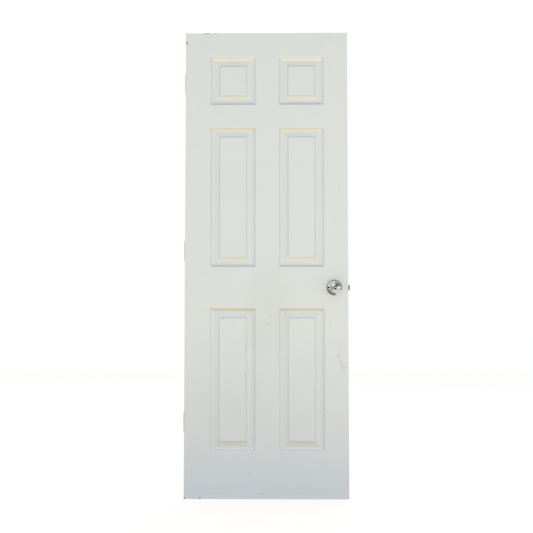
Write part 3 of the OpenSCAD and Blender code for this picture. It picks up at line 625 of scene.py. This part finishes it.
def paint_material(name, sizes, colours, wear, side):
    """White paint over a moulded board."""
    material, tree, shader, place = blank(name)
    base = facing_shade_and_dirt(tree, place, paint_tone(tree, place, colours), side, colours, wear)
    if side == FRONT:
        flat = flattened(tree, place)
        # Scuffs, and one broad mark that is painted shade over the middle of the door
        base = marked(tree, flat, base, SCUFFS_AND_SHADE, colours.scuff_and_shade, 1.5)
        base = marked(tree, flat, base, SCRATCHES, colours.scratch, 0.9)
        base = marked(tree, flat, base, CHIPS, colours.board, 1.1)
    bare = fade(tree, noise(tree, place, *EDGE_WEAR), 0.55, 0.7, 0.0, wear.board)
    worn = times(tree, rim_mask(tree, place, sizes.edge_rub), bare)
    base = blended(tree, worn, base, colours.board)
    prints = effect(tree, "Handling", {"Place": place, "Scale": 5.0})
    rough = fade(tree, prints, 0.0, 0.5, *PAINT_ROUGH)
    feed(tree, shader, base, rough, effect(tree, "Roller stipple", {"Place": place}), relief=0.16)
    return material


def grained(tree, place, colours):
    """The mask and the colour of softwood grain."""
    grain = effect(tree, "Softwood grain", {"Place": place})
    return grain, blended(tree, grain, colours.softwood, colours.softwood_line)


def edge_material(colours):
    """Softwood that is painted only where it shows at the slab's edges."""
    material, tree, shader, place = blank("painted_softwood")
    grain, wood = grained(tree, place, colours)
    coat = rim_mask(tree, place, 0.4 * MM)
    rubbed = fade(tree, noise(tree, place, *COAT_WEAR), 0.62, 0.72, 1.0, 0.35)
    covered = times(tree, fade(tree, coat, 0.1, 0.4), rubbed)
    base = blended(tree, covered, wood, paint_tone(tree, place, colours))
    rough = fade(tree, covered, 0.0, 1.0, *COAT_ROUGH)
    feed(tree, shader, base, rough, grain, relief=0.12)
    return material


def wood_material(colours):
    """Bare softwood."""
    material, tree, shader, place = blank("bare_softwood")
    grain, wood = grained(tree, place, colours)
    feed(tree, shader, wood, fade(tree, grain, 0.0, 1.0, *WOOD_ROUGH), grain, relief=0.15)
    return material


def card_material(colours):
    """Brown card with a pressed, fibrous face."""
    material, tree, shader, place = blank("core_card")
    flecks = noise(tree, place, *CARD_FLECKS)
    base = blended(tree, fade(tree, flecks, 0.35, 0.7, 0.0, 0.45), colours.card, colours.card_fleck)
    feed(tree, shader, base, fade(tree, flecks, 0.2, 0.8, *CARD_ROUGH), flecks, relief=0.2)
    return material


def rose_recess_shade(tree, place, sizes):
    """Masks of the painted shade in the recesses beside the two screws of the front rose."""
    flat = flattened(tree, place)
    masks = []
    for turn in (-1, 1):
        spot = (LOCK_X + turn * sizes.recess_shade_x, FACE_LOW[1], LOCK_Z)
        away = put(tree, "ShaderNodeVectorMath", {0: flat, 1: spot}, operation="DISTANCE")
        masks.append(fade(tree, away.outputs["Value"], sizes.recess_shade, sizes.recess_shade_core))
    return masks


def chrome_material(name, colours, shaded_recesses=None):
    """Polished plate with faint handling marks, and with painted shade beside the rose's screws if it
    is given the knob set's sizes.
    """
    material, tree, shader, place = blank(name)
    prints = effect(tree, "Handling", {"Place": place, "Scale": 70.0})
    base = blended(tree, times(tree, prints, 0.35), colours.chrome, colours.smear)
    rough = fade(tree, prints, 0.0, 0.6, *CHROME_ROUGH)
    # Painted shade in the recesses beside the rose's screws, dark and rougher
    for recess_shade in rose_recess_shade(tree, place, shaded_recesses) if shaded_recesses else ():
        base = blended(tree, recess_shade, base, colours.recess_shade)
        rough = sums(tree, "MULTIPLY_ADD", recess_shade, 0.5, rough)
    feed(tree, shader, base, rough, metal=1.0)
    return material


def steel_material(name, tint, roughness):
    """Plated steel with cloudy tarnish and fine scratches."""
    material, tree, shader, place = blank(name)
    drawn = put(tree, "ShaderNodeMapping", {"Vector": place, "Scale": (1.0, 1.0, 14.0)})
    lines = noise(tree, drawn.outputs[0], *DRAWN_LINES)
    cloud = fade(tree, noise(tree, place, *TARNISH), 0.35, 0.75, 0.0, 0.4)
    base = blended(tree, cloud, tint, tuple(0.55 * part for part in tint))
    rough = fade(tree, lines, 0.3, 0.7, *roughness)
    feed(tree, shader, base, rough, lines, metal=1.0, relief=0.05, distance=0.05 * MM)
    return material


def hinge_material(colours):
    """Steel painted over with the door, rubbed bright at the knuckles."""
    material, tree, shader, place = blank("painted_hinge_steel")
    rub = fade(tree, noise(tree, place, *HINGE_WEAR), 0.60, 0.68)
    knuckle = fade(tree, axis(tree, place, "Y"), *KNUCKLE_BAND, 0.25, 1.0)
    bare = times(tree, rub, knuckle)
    base = blended(tree, bare, colours.hinge, colours.steel)
    feed(tree, shader, base, fade(tree, bare, 0.0, 1.0, *HINGE_ROUGH),
         effect(tree, "Roller stipple", {"Place": place}), metal=bare, relief=0.14)
    return material


def cubic(points, steps):
    """Points along a cubic curve, after its first."""
    found = []
    for i in range(1, steps + 1):
        t = i / steps
        weights = ((1 - t) ** 3, 3 * t * (1 - t) ** 2, 3 * t * t * (1 - t), t ** 3)
        found.append(tuple(sum(w * p[k] for w, p in zip(weights, points)) for k in (0, 1)))
    return found


def s_curve(width, rise, steps):
    """Points along an S of two equal arcs, after its first."""
    turn = 2 * math.atan2(rise, width)
    radius = width / 2 / math.sin(turn)
    angles = [turn * i / steps for i in range(steps + 1)]
    first = [(radius * math.sin(a), radius * (1 - math.cos(a))) for a in angles]
    second = [(width - along, rise - up) for along, up in reversed(first)]
    return (first + second[1:])[1:]


def moulding_steps(sizes):
    """The panel moulding from the flat face inwards, as steps along and down."""
    foot = (sizes.ogee_w - sizes.ogee_sweep, sizes.ogee_d - sizes.ogee_fall)
    points = [(0.0, 0.0)]
    points += cubic(
        ((0, 0), (sizes.ogee_brow, 0), foot, (sizes.ogee_w, sizes.ogee_d)), 2 * sizes.curve_steps)
    points.append((sizes.ogee_w + sizes.valley_w, sizes.ogee_d))
    top = sizes.ogee_w + sizes.valley_w + sizes.bevel_w
    step_foot = sizes.field_drop + sizes.step_d
    points.append((top, step_foot))
    points += [(top + along, step_foot - up)
               for along, up in s_curve(sizes.step_w, sizes.step_d, sizes.curve_steps // 2)]
    return [(b[0] - a[0], b[1] - a[1]) for a, b in zip(points, points[1:])]


def placed(mesh, name, material):
    """An object at the origin from a bmesh."""
    data = bpy.data.meshes.new(name)
    mesh.to_mesh(data)
    mesh.free()
    piece = bpy.data.objects.new(name, data)
    bpy.context.scene.collection.objects.link(piece)
    data.materials.append(material)
    return piece


def finished(mesh, name, body, slot, material, *nodes):
    """A piece from a bmesh, riding on a body in place of its CAD nodes."""
    bmesh.ops.recalc_face_normals(mesh, faces=mesh.faces)
    piece = placed(mesh, name, material)
    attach(piece, body)
    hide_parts(*nodes)
    return piece


def shade(mesh, sharp_degrees):
    """Smooth faces, with the edges past an angle kept sharp."""
    for face in mesh.faces:
        face.smooth = True
    for edge in mesh.edges:
        edge.smooth = edge.calc_face_angle(math.pi) < math.radians(sharp_degrees)


def mitred(mesh):
    """Keeps the slanting edges sharp, where two lengths of moulding meet."""
    for edge in mesh.edges:
        run = edge.verts[0].co - edge.verts[1].co
        if min(abs(run.x), abs(run.z)) > 0.01 * MM:
            edge.smooth = False


def even_normals(piece):
    """Normals weighted by area, so that flats beside a curve stay flat."""
    weighted = piece.modifiers.new("Even normals", "WEIGHTED_NORMAL")
    weighted.keep_sharp = True


def cut(mesh, across, distance):
    """Splits the faces along a plane across an axis."""
    geometry = mesh.verts[:] + mesh.edges[:] + mesh.faces[:]
    bmesh.ops.bisect_plane(
        mesh, geom=geometry, dist=POINT_GAP, plane_co=across * distance, plane_no=across)


def face_at(mesh, x, z):
    """The face whose middle is nearest to a place on the slab."""
    place = Vector((x, z))
    return min(mesh.faces, key=lambda face: (face.calc_center_median().xz - place).length)


def bore_face(mesh, sizes):
    """Opens the cross bore in the flat round the lock."""
    face = face_at(mesh, LOCK_X, LOCK_Z)
    bmesh.ops.subdivide_edges(mesh, edges=face.edges[:], cuts=BORE_CUTS)
    face = face_at(mesh, LOCK_X, LOCK_Z)
    bmesh.ops.inset_region(mesh, faces=[face], thickness=sizes.bore_cell / 10)
    for vert in face.verts:
        away = Vector((vert.co.x - LOCK_X, 0, vert.co.z - LOCK_Z)).normalized() * sizes.bore
        vert.co.x = LOCK_X + away.x
        vert.co.z = LOCK_Z + away.z
    bmesh.ops.delete(mesh, geom=[face], context="FACES")


def moulded_face(sizes, side):
    """One moulded face as a thin closed board."""
    half = DOOR_W / 2
    hinge_side = sizes.hinge_stile - half
    lock_side = half - sizes.lock_stile
    panel_w = (lock_side - hinge_side - sizes.mullion) / 2
    columns = (hinge_side, hinge_side + panel_w, lock_side - panel_w, lock_side)
    lock_rail = sizes.bottom_rail + sizes.bottom_panel
    top_panel = DOOR_H - sizes.top_rail - sizes.top_panel
    rows = (sizes.bottom_rail, lock_rail, lock_rail + sizes.lock_rail,
            top_panel - sizes.frieze, top_panel, DOOR_H - sizes.top_rail)
    mesh = bmesh.new()
    y = side * abs(FACE_LOW[1])
    corners = [(-half, y, 0), (half, y, 0), (half, y, DOOR_H), (-half, y, DOOR_H)]
    mesh.faces.new([mesh.verts.new(corner) for corner in corners[::-side]])
    for x in columns + (LOCK_X - sizes.bore_cell, LOCK_X + sizes.bore_cell):
        cut(mesh, X_AXIS, x)
    for z in rows + (LOCK_Z - sizes.bore_cell, LOCK_Z + sizes.bore_cell):
        cut(mesh, Z_AXIS, z)
    steps = moulding_steps(sizes)
    for left, right in (columns[:2], columns[2:]):
        for low, high in (rows[:2], rows[2:4], rows[4:]):
            middles = {face: face.calc_center_median() for face in mesh.faces}
            panel = [
                face for face, middle in middles.items()
                if left < middle.x < right and low < middle.z < high]
            for along, down in steps:
                bmesh.ops.inset_region(
                    mesh, faces=panel, thickness=along, depth=-down,
                    use_boundary=True, use_even_offset=True)
    bore_face(mesh, sizes)
    bmesh.ops.solidify(mesh, geom=mesh.faces[:], thickness=sizes.skin)
    return mesh


def on_face(side):
    """The turn and move that puts a piece made along Z on a face at the lock."""
    move = Matrix.Translation((LOCK_X, side * abs(FACE_LOW[1]), LOCK_Z))
    return move @ Matrix.Rotation(math.radians(-90 * side), 4, "X")


def spun(outline, turns):
    """A closed outline of radius and height, spun once round Z."""
    mesh = bmesh.new()
    verts = [mesh.verts.new((radius, 0, height)) for radius, height in outline]
    edges = [mesh.edges.new(pair) for pair in zip(verts, verts[1:] + verts[:1])]
    bmesh.ops.spin(
        mesh, geom=verts + edges, cent=(0, 0, 0), axis=Z_AXIS, dvec=(0, 0, 0),
        angle=2 * math.pi, steps=turns, use_merge=True, use_duplicate=False)
    bmesh.ops.remove_doubles(mesh, verts=mesh.verts, dist=POINT_GAP)
    return mesh


def dish_height(sizes, radius):
    """Height of the dished face at a distance from its middle."""
    return sizes.height - sizes.dish + sizes.dish * (radius / sizes.rim) ** 2


def knob_outline(sizes, side):
    """Outline of a knob: foot, flared side, round brow, dish and bore."""
    outline = [(sizes.button_bore, sizes.foot), (sizes.shank, sizes.foot), (sizes.shank, sizes.neck)]
    outline += cubic((
        (sizes.shank, sizes.neck), (sizes.shank, sizes.neck + sizes.neck_pull),
        (sizes.radius, sizes.wide - sizes.flare_pull), (sizes.radius, sizes.wide)), FLARE_STEPS)
    outline += cubic((
        (sizes.radius, sizes.wide), (sizes.radius, sizes.wide + sizes.brow_pull),
        (sizes.rim + sizes.rim_pull, sizes.height), (sizes.rim, sizes.height)), BROW_STEPS)
    hole = sizes.button_bore if side == FRONT else sizes.release_bore
    for i in range(1, DISH_STEPS + 1):
        radius = sizes.rim + (hole - sizes.rim) * i / DISH_STEPS
        outline.append((radius, dish_height(sizes, radius)))
    if side == BACK:
        under = dish_height(sizes, 0) - sizes.wall
        outline += [(hole, under), (sizes.button_bore, under)]
    return outline


def lens(sizes, low, high):
    """A lens-shaped grip with rounded edges, between two heights."""
    mesh = bmesh.new()
    half_l = sizes.grip_l / 2
    half_w = sizes.grip_w / 2
    radius = (half_l ** 2 + half_w ** 2) / sizes.grip_w
    sweep = 2 * math.asin(half_l / radius)
    for side in (-1, 1):
        tip = mesh.verts.new((-half_l * side, 0, low))
        bmesh.ops.spin(
            mesh, geom=[tip], cent=(0, side * (half_w - radius), low), axis=Z_AXIS,
            dvec=(0, 0, 0), angle=-sweep, steps=GRIP_STEPS, use_merge=False, use_duplicate=False)
    bmesh.ops.remove_doubles(mesh, verts=mesh.verts, dist=TIP_GAP)
    made = bmesh.ops.contextual_create(mesh, geom=mesh.edges[:])
    raised = bmesh.ops.extrude_face_region(mesh, geom=made["faces"])
    moved = [part for part in raised["geom"] if isinstance(part, bmesh.types.BMVert)]
    bmesh.ops.translate(mesh, verts=moved, vec=(0, 0, high - low))
    bmesh.ops.recalc_face_normals(mesh, faces=mesh.faces)
    crown = [edge for edge in mesh.edges if all(vert.co.z > high - TIP_GAP for vert in edge.verts)]
    bmesh.ops.bevel(
        mesh, geom=crown, offset=sizes.grip_edge, segments=4, profile=0.5, affect="EDGES", material=-1)
    return mesh


def wound(wire, coils, low, high):
    """A wire wound round X, as long and as wide as a box."""
    steps = COIL_STEPS * coils
    start = Vector((low[0] + wire, high[1] - wire, (low[2] + high[2]) / 2))
    middle = Vector((start.x, (low[1] + high[1]) / 2, start.z))
    mesh = bmesh.new()
    bmesh.ops.create_circle(mesh, cap_ends=True, segments=WIRE_STEPS, radius=wire)
    bmesh.ops.translate(mesh, verts=mesh.verts, vec=start)
    bmesh.ops.spin(
        mesh, geom=mesh.verts[:] + mesh.edges[:] + mesh.faces[:], cent=middle, axis=(1, 0, 0),
        dvec=((high[0] - low[0] - 2 * wire) / steps, 0, 0), angle=2 * math.pi * coils, steps=steps,
        use_merge=False, use_duplicate=False)
    return mesh


def soft_shading():
    """A modifier group that joins a node's loose triangles and shades its curves smoothly."""
    tree = bpy.data.node_groups.get("Soft shading")
    if tree:
        return tree
    tree = bpy.data.node_groups.new("Soft shading", "GeometryNodeTree")
    tree.interface.new_socket("Geometry", in_out="INPUT", socket_type="NodeSocketGeometry")
    tree.interface.new_socket("Geometry", in_out="OUTPUT", socket_type="NodeSocketGeometry")
    given = tree.nodes.new("NodeGroupInput").outputs[0]
    plain = put(tree, "GeometryNodeRemoveAttribute", {"Geometry": given, "Name": "custom_normal"})
    joined = put(tree, "GeometryNodeMergeByDistance", {0: plain.outputs[0], "Distance": JOIN_GAP})
    smooth = put(tree, "GeometryNodeSetShadeSmooth", {0: joined.outputs[0], 2: True}, domain="FACE")
    angle = tree.nodes.new("GeometryNodeInputMeshEdgeAngle").outputs[0]
    steep = put(
        tree, "FunctionNodeCompare", {0: angle, 1: math.radians(NODE_SHARP)},
        data_type="FLOAT", operation="GREATER_THAN")
    sharp = put(
        tree, "GeometryNodeSetShadeSmooth", {0: smooth.outputs[0], 1: steep.outputs[0], 2: False},
        domain="EDGE")
    tree.links.new(sharp.outputs[0], tree.nodes.new("NodeGroupOutput").inputs[0])
    return tree


def dress(material, *names):
    """Gives CAD nodes a finish and smooth shading."""
    for name in names:
        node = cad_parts[name]
        if not node.material_slots:
            node.data.materials.append(material)
        for slot in node.material_slots:
            slot.material = material
        modifier = node.modifiers.new("Soft shading", "NODES")
        modifier.node_group = soft_shading()
        even_normals(node)


def seen_directly(tree):
    """1 for rays that show the background: straight from the camera, mirrored or through glass."""
    path = tree.nodes.new("ShaderNodeLightPath").outputs
    mirrored = sums(tree, "MAXIMUM", path["Is Glossy Ray"], path["Is Transmission Ray"])
    return sums(tree, "MAXIMUM", path["Is Camera Ray"], mirrored)


def plane(name, width, depth, matrix, material):
    """A flat stage piece with its place in its mesh."""
    mesh = bmesh.new()
    bmesh.ops.create_grid(mesh, x_segments=1, y_segments=1, size=0.5)
    bmesh.ops.scale(mesh, vec=(width, depth, 1), verts=mesh.verts)
    bmesh.ops.transform(mesh, matrix=matrix, verts=mesh.verts)
    piece = placed(mesh, name, material)
    return piece


def lay_floor(colours):
    """A pale floor that reads white and keeps the shadow."""
    material, tree, shader, place = blank("pale_floor")
    worn = fade(tree, noise(tree, place, *FLOOR_WEAR), 0.2, 0.8, 0.0, 0.06)
    base = blended(tree, worn, colours.floor, colours.floor_worn)
    feed(tree, shader, base, 0.9)
    shader.inputs["Specular IOR Level"].default_value = 0.1
    white = put(tree, "ShaderNodeEmission", {"Strength": FLOOR_GLOW})
    warm = put(tree, "ShaderNodeEmission", {"Color": FLOOR_WARMTH, "Strength": FLOOR_BOUNCE})
    glow = put(tree, "ShaderNodeMixShader", {
        0: seen_directly(tree), 1: warm.outputs[0], 2: white.outputs[0]})
    both = put(tree, "ShaderNodeAddShader", {0: shader.outputs[0], 1: glow.outputs[0]})
    tree.links.new(both.outputs[0], tree.nodes["Material Output"].inputs["Surface"])
    plane("floor", FLOOR_SIDE, FLOOR_SIDE, Matrix.Translation((0, 0, -FLOOR_GAP)), material)


def hang_card(name, place, size, turn, screen):
    """A card that only polished metal sees."""
    material = bpy.data.materials.new(name)
    material.use_nodes = True
    tree = material.node_tree
    glow = put(tree, "ShaderNodeEmission", {"Color": (*linear(*screen), 1.0)})
    tree.links.new(glow.outputs[0], tree.nodes["Material Output"].inputs["Surface"])
    turn_x, turn_y = (math.radians(degrees) for degrees in turn)
    turned = Matrix.Rotation(turn_y, 4, "Y") @ Matrix.Rotation(turn_x, 4, "X")
    card = plane(name, *size, Matrix.Translation(place) @ turned, material)
    card.visible_camera = False
    card.visible_diffuse = False
    card.visible_transmission = False
    card.visible_shadow = False


def light_world():
    """Even light from all round, and a white background."""
    world = bpy.data.worlds.new("studio")
    bpy.context.scene.world = world
    world.use_nodes = True
    tree = world.node_tree
    even = tree.nodes["Background"]
    even.inputs["Color"].default_value = SKY
    white = put(tree, "ShaderNodeBackground", {"Color": WHITE})
    mixed = put(tree, "ShaderNodeMixShader", {
        0: seen_directly(tree), 1: even.outputs[0], 2: white.outputs[0]})
    tree.links.new(mixed.outputs[0], tree.nodes["World Output"].inputs["Surface"])


def hang_lamp(name, place, size, power):
    """A soft square lamp pointed at the door."""
    data = bpy.data.lights.new(name, "AREA")
    data.shape = "SQUARE"
    data.size = size
    data.energy = power
    data.color = LAMP_TINT
    lamp = bpy.data.objects.new(name, data)
    lamp.location = place
    aim = Vector(LAMP_AIM) - Vector(place)
    lamp.rotation_euler = aim.to_track_quat("-Z", "Y").to_euler()
    lamp.visible_camera = False
    lamp.visible_glossy = False
    bpy.context.scene.collection.objects.link(lamp)


def set_camera():
    """The photograph's view: square on, a little below the middle, tilted up."""
    scene = bpy.context.scene
    data = bpy.data.cameras.new("view")
    data.sensor_width = VIEW_SENSOR
    data.lens = VIEW_LENS
    camera = bpy.data.objects.new("view", data)
    camera.location = VIEW_PLACE
    camera.rotation_euler = (math.radians(VIEW_TILT), 0, math.radians(VIEW_TURN))
    scene.collection.objects.link(camera)
    scene.camera = camera
    scene.view_settings.view_transform = "Standard"


class DOOR_OT_faces(bpy.types.Operator):
    """Presses the two moulded faces and paints them"""
    bl_idname = "door.faces"
    bl_label = "Moulded faces"

    def execute(self, context):
        sizes = context.scene.door_faces
        colours = context.scene.door_colours
        wear = context.scene.door_wear
        for side, name, node in ((FRONT, "front_face", "front_skin"), (BACK, "back_face", "back_skin")):
            mesh = moulded_face(sizes, side)
            shade(mesh, FACE_SHARP)
            mitred(mesh)
            paint = paint_material(f"{name}_paint", sizes, colours, wear, side)
            piece = finished(mesh, name, "door", "paint", paint, node)
            round_off = piece.modifiers.new("Arris", "BEVEL")
            round_off.limit_method = "ANGLE"
            round_off.angle_limit = math.radians(ARRIS_SHARP)
            round_off.width = sizes.arris
            round_off.segments = 2
            even_normals(piece)
        return {"FINISHED"}


class DOOR_OT_slab(bpy.types.Operator):
    """Finishes the edge frame, the lock block and the core"""
    bl_idname = "door.slab"
    bl_label = "Slab frame and core"

    def execute(self, context):
        colours = context.scene.door_colours
        dress(edge_material(colours), "hinge_stile", "lock_stile", "top_rail", "bottom_rail")
        dress(wood_material(colours), "lock_block")
        dress(card_material(colours), "card_core")
        return {"FINISHED"}


class DOOR_OT_knobs(bpy.types.Operator):
    """Spins the two knobs and finishes the knob set"""
    bl_idname = "door.knobs"
    bl_label = "Knobs and roses"

    def execute(self, context):
        sizes = context.scene.door_knobs
        colours = context.scene.door_colours
        chrome = chrome_material("polished_chrome", colours)
        for side, node in ((FRONT, "front_knob"), (BACK, "back_knob")):
            mesh = spun(knob_outline(sizes, side), KNOB_TURNS)
            bmesh.ops.transform(mesh, matrix=on_face(side), verts=mesh.verts)
            shade(mesh, TURNED_SHARP)
            finished(mesh, f"{node}_shell", "knobs", "chrome", chrome, node)
        # The front rose carries painted shade beside its screws
        dress(chrome_material("rose_chrome_shaded", colours, sizes), "front_rose")
        dress(chrome, "back_rose")
        # Painted shade: the rose's screws near black, as in their shaded recesses
        dress(steel_material("shade_dark_plate", colours.shade_dark, DARK_ROUGH), "rose_screws")
        return {"FINISHED"}


class DOOR_OT_turn_button(bpy.types.Operator):
    """Makes the turn button in the front knob"""
    bl_idname = "door.turn_button"
    bl_label = "Turn button"

    def execute(self, context):
        sizes = context.scene.door_knobs
        foot = dish_height(sizes, sizes.cap) + sizes.cap_gap
        top = foot + sizes.cap_t
        soft = sizes.cap_edge
        outline = [
            (0, sizes.button_foot), (sizes.button, sizes.button_foot), (sizes.button, foot),
            (sizes.cap, foot), (sizes.cap, top - soft),
            (sizes.cap - 0.3 * soft, top - 0.3 * soft), (sizes.cap - soft, top), (0, top)]
        cap = spun(outline, CAP_TURNS)
        cap_faces = len(cap.faces)
        grip = lens(sizes, top - soft, top + sizes.grip_h)
        spare = bpy.data.meshes.new("turn_grip")
        grip.to_mesh(spare)
        grip.free()
        cap.from_mesh(spare)
        bpy.data.meshes.remove(spare)
        bmesh.ops.transform(cap, matrix=on_face(FRONT), verts=cap.verts)
        shade(cap, TURNED_SHARP)
        chrome = bpy.data.materials["polished_chrome"]
        piece = finished(cap, "turn_piece", "turn_button", "chrome", chrome, "turn_button")
        # Painted shade: the cap near black round the grip
        piece.data.materials.append(bpy.data.materials["shade_dark_plate"])
        for face in piece.data.polygons:
            if face.index < cap_faces:
                face.material_index = 1
        even_normals(piece)
        return {"FINISHED"}


class DOOR_OT_ironmongery(bpy.types.Operator):
    """Finishes the hinges, the latch and the hidden works"""
    bl_idname = "door.ironmongery"
    bl_label = "Hinges and latch"

    def execute(self, context):
        colours = context.scene.door_colours
        leaves = [
            f"{place}_{kind}_leaf"
            for place in ("bottom", "middle", "top") for kind in ("door", "frame")]
        dress(hinge_material(colours), "hinge_pins", "hinge_screws", *leaves)
        dress(steel_material("worn_bolt", colours.bolt, BOLT_ROUGH), "latch_bolt")
        dress(
            steel_material("satin_plate", colours.steel, PLATE_ROUGH),
            "latch_faceplate", "latch_screws")
        dress(
            steel_material("zinc_steel", colours.steel, ZINC_ROUGH),
            "latch_housing", "latch_retractor", "latch_hub", "spindle", "locking_rod", "rose_posts")
        return {"FINISHED"}


class DOOR_OT_latch_spring(bpy.types.Operator):
    """Winds the latch spring"""
    bl_idname = "door.latch_spring"
    bl_label = "Latch spring"

    def execute(self, context):
        sizes = context.scene.door_knobs
        low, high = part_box("latch_spring")
        mesh = wound(sizes.wire, sizes.coils, low, high)
        shade(mesh, WIRE_SHARP)
        zinc = bpy.data.materials["zinc_steel"]
        piece = finished(mesh, "latch_coil", "door", "steel", zinc, "latch_spring")
        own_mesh(piece)
        return {"FINISHED"}


class DOOR_OT_stage(bpy.types.Operator):
    """Lays the floor, hangs the lamps and cards, and sets the camera"""
    bl_idname = "door.stage"
    bl_label = "Stage"

    def execute(self, context):
        lay_floor(context.scene.door_colours)
        light_world()
        for lamp in LAMPS:
            hang_lamp(*lamp)
        for card in CARDS:
            hang_card(*card)
        set_camera()
        return {"FINISHED"}


class DOOR_PT_pieces(bpy.types.Panel):
    """Lists the pieces of the door"""
    bl_idname = "DOOR_PT_pieces"
    bl_label = "Six-panel door"
    bl_space_type = "VIEW_3D"
    bl_region_type = "UI"
    bl_category = "Door"

    def draw(self, context):
        for operator in OPERATORS:
            self.layout.operator(operator.bl_idname)
        for name in SETTINGS:
            settings = getattr(context.scene, name)
            for key in settings.__annotations__:
                self.layout.prop(settings, key)


OPERATORS = (
    DOOR_OT_faces, DOOR_OT_slab, DOOR_OT_knobs, DOOR_OT_turn_button, DOOR_OT_ironmongery,
    DOOR_OT_latch_spring, DOOR_OT_stage)
SETTINGS = {
    "door_faces": FaceSizes,
    "door_knobs": KnobSizes,
    "door_colours": DoorColours,
    "door_wear": DoorWear,
}
CLASSES = tuple(SETTINGS.values()) + OPERATORS + (DOOR_PT_pieces,)


def register():
    """Adds the settings, the operators and the panel."""
    for item in CLASSES:
        bpy.utils.register_class(item)
    for name, kind in SETTINGS.items():
        setattr(bpy.types.Scene, name, bpy.props.PointerProperty(type=kind))


def unregister():
    """Takes away what register added."""
    for name in SETTINGS:
        delattr(bpy.types.Scene, name)
    for item in reversed(CLASSES):
        bpy.utils.unregister_class(item)


def main():
    """Builds every piece."""
    register()
    bpy.ops.door.faces()
    bpy.ops.door.slab()
    bpy.ops.door.knobs()
    bpy.ops.door.turn_button()
    bpy.ops.door.ironmongery()
    bpy.ops.door.latch_spring()
    bpy.ops.door.stage()


if __name__ == "__main__":
    main()
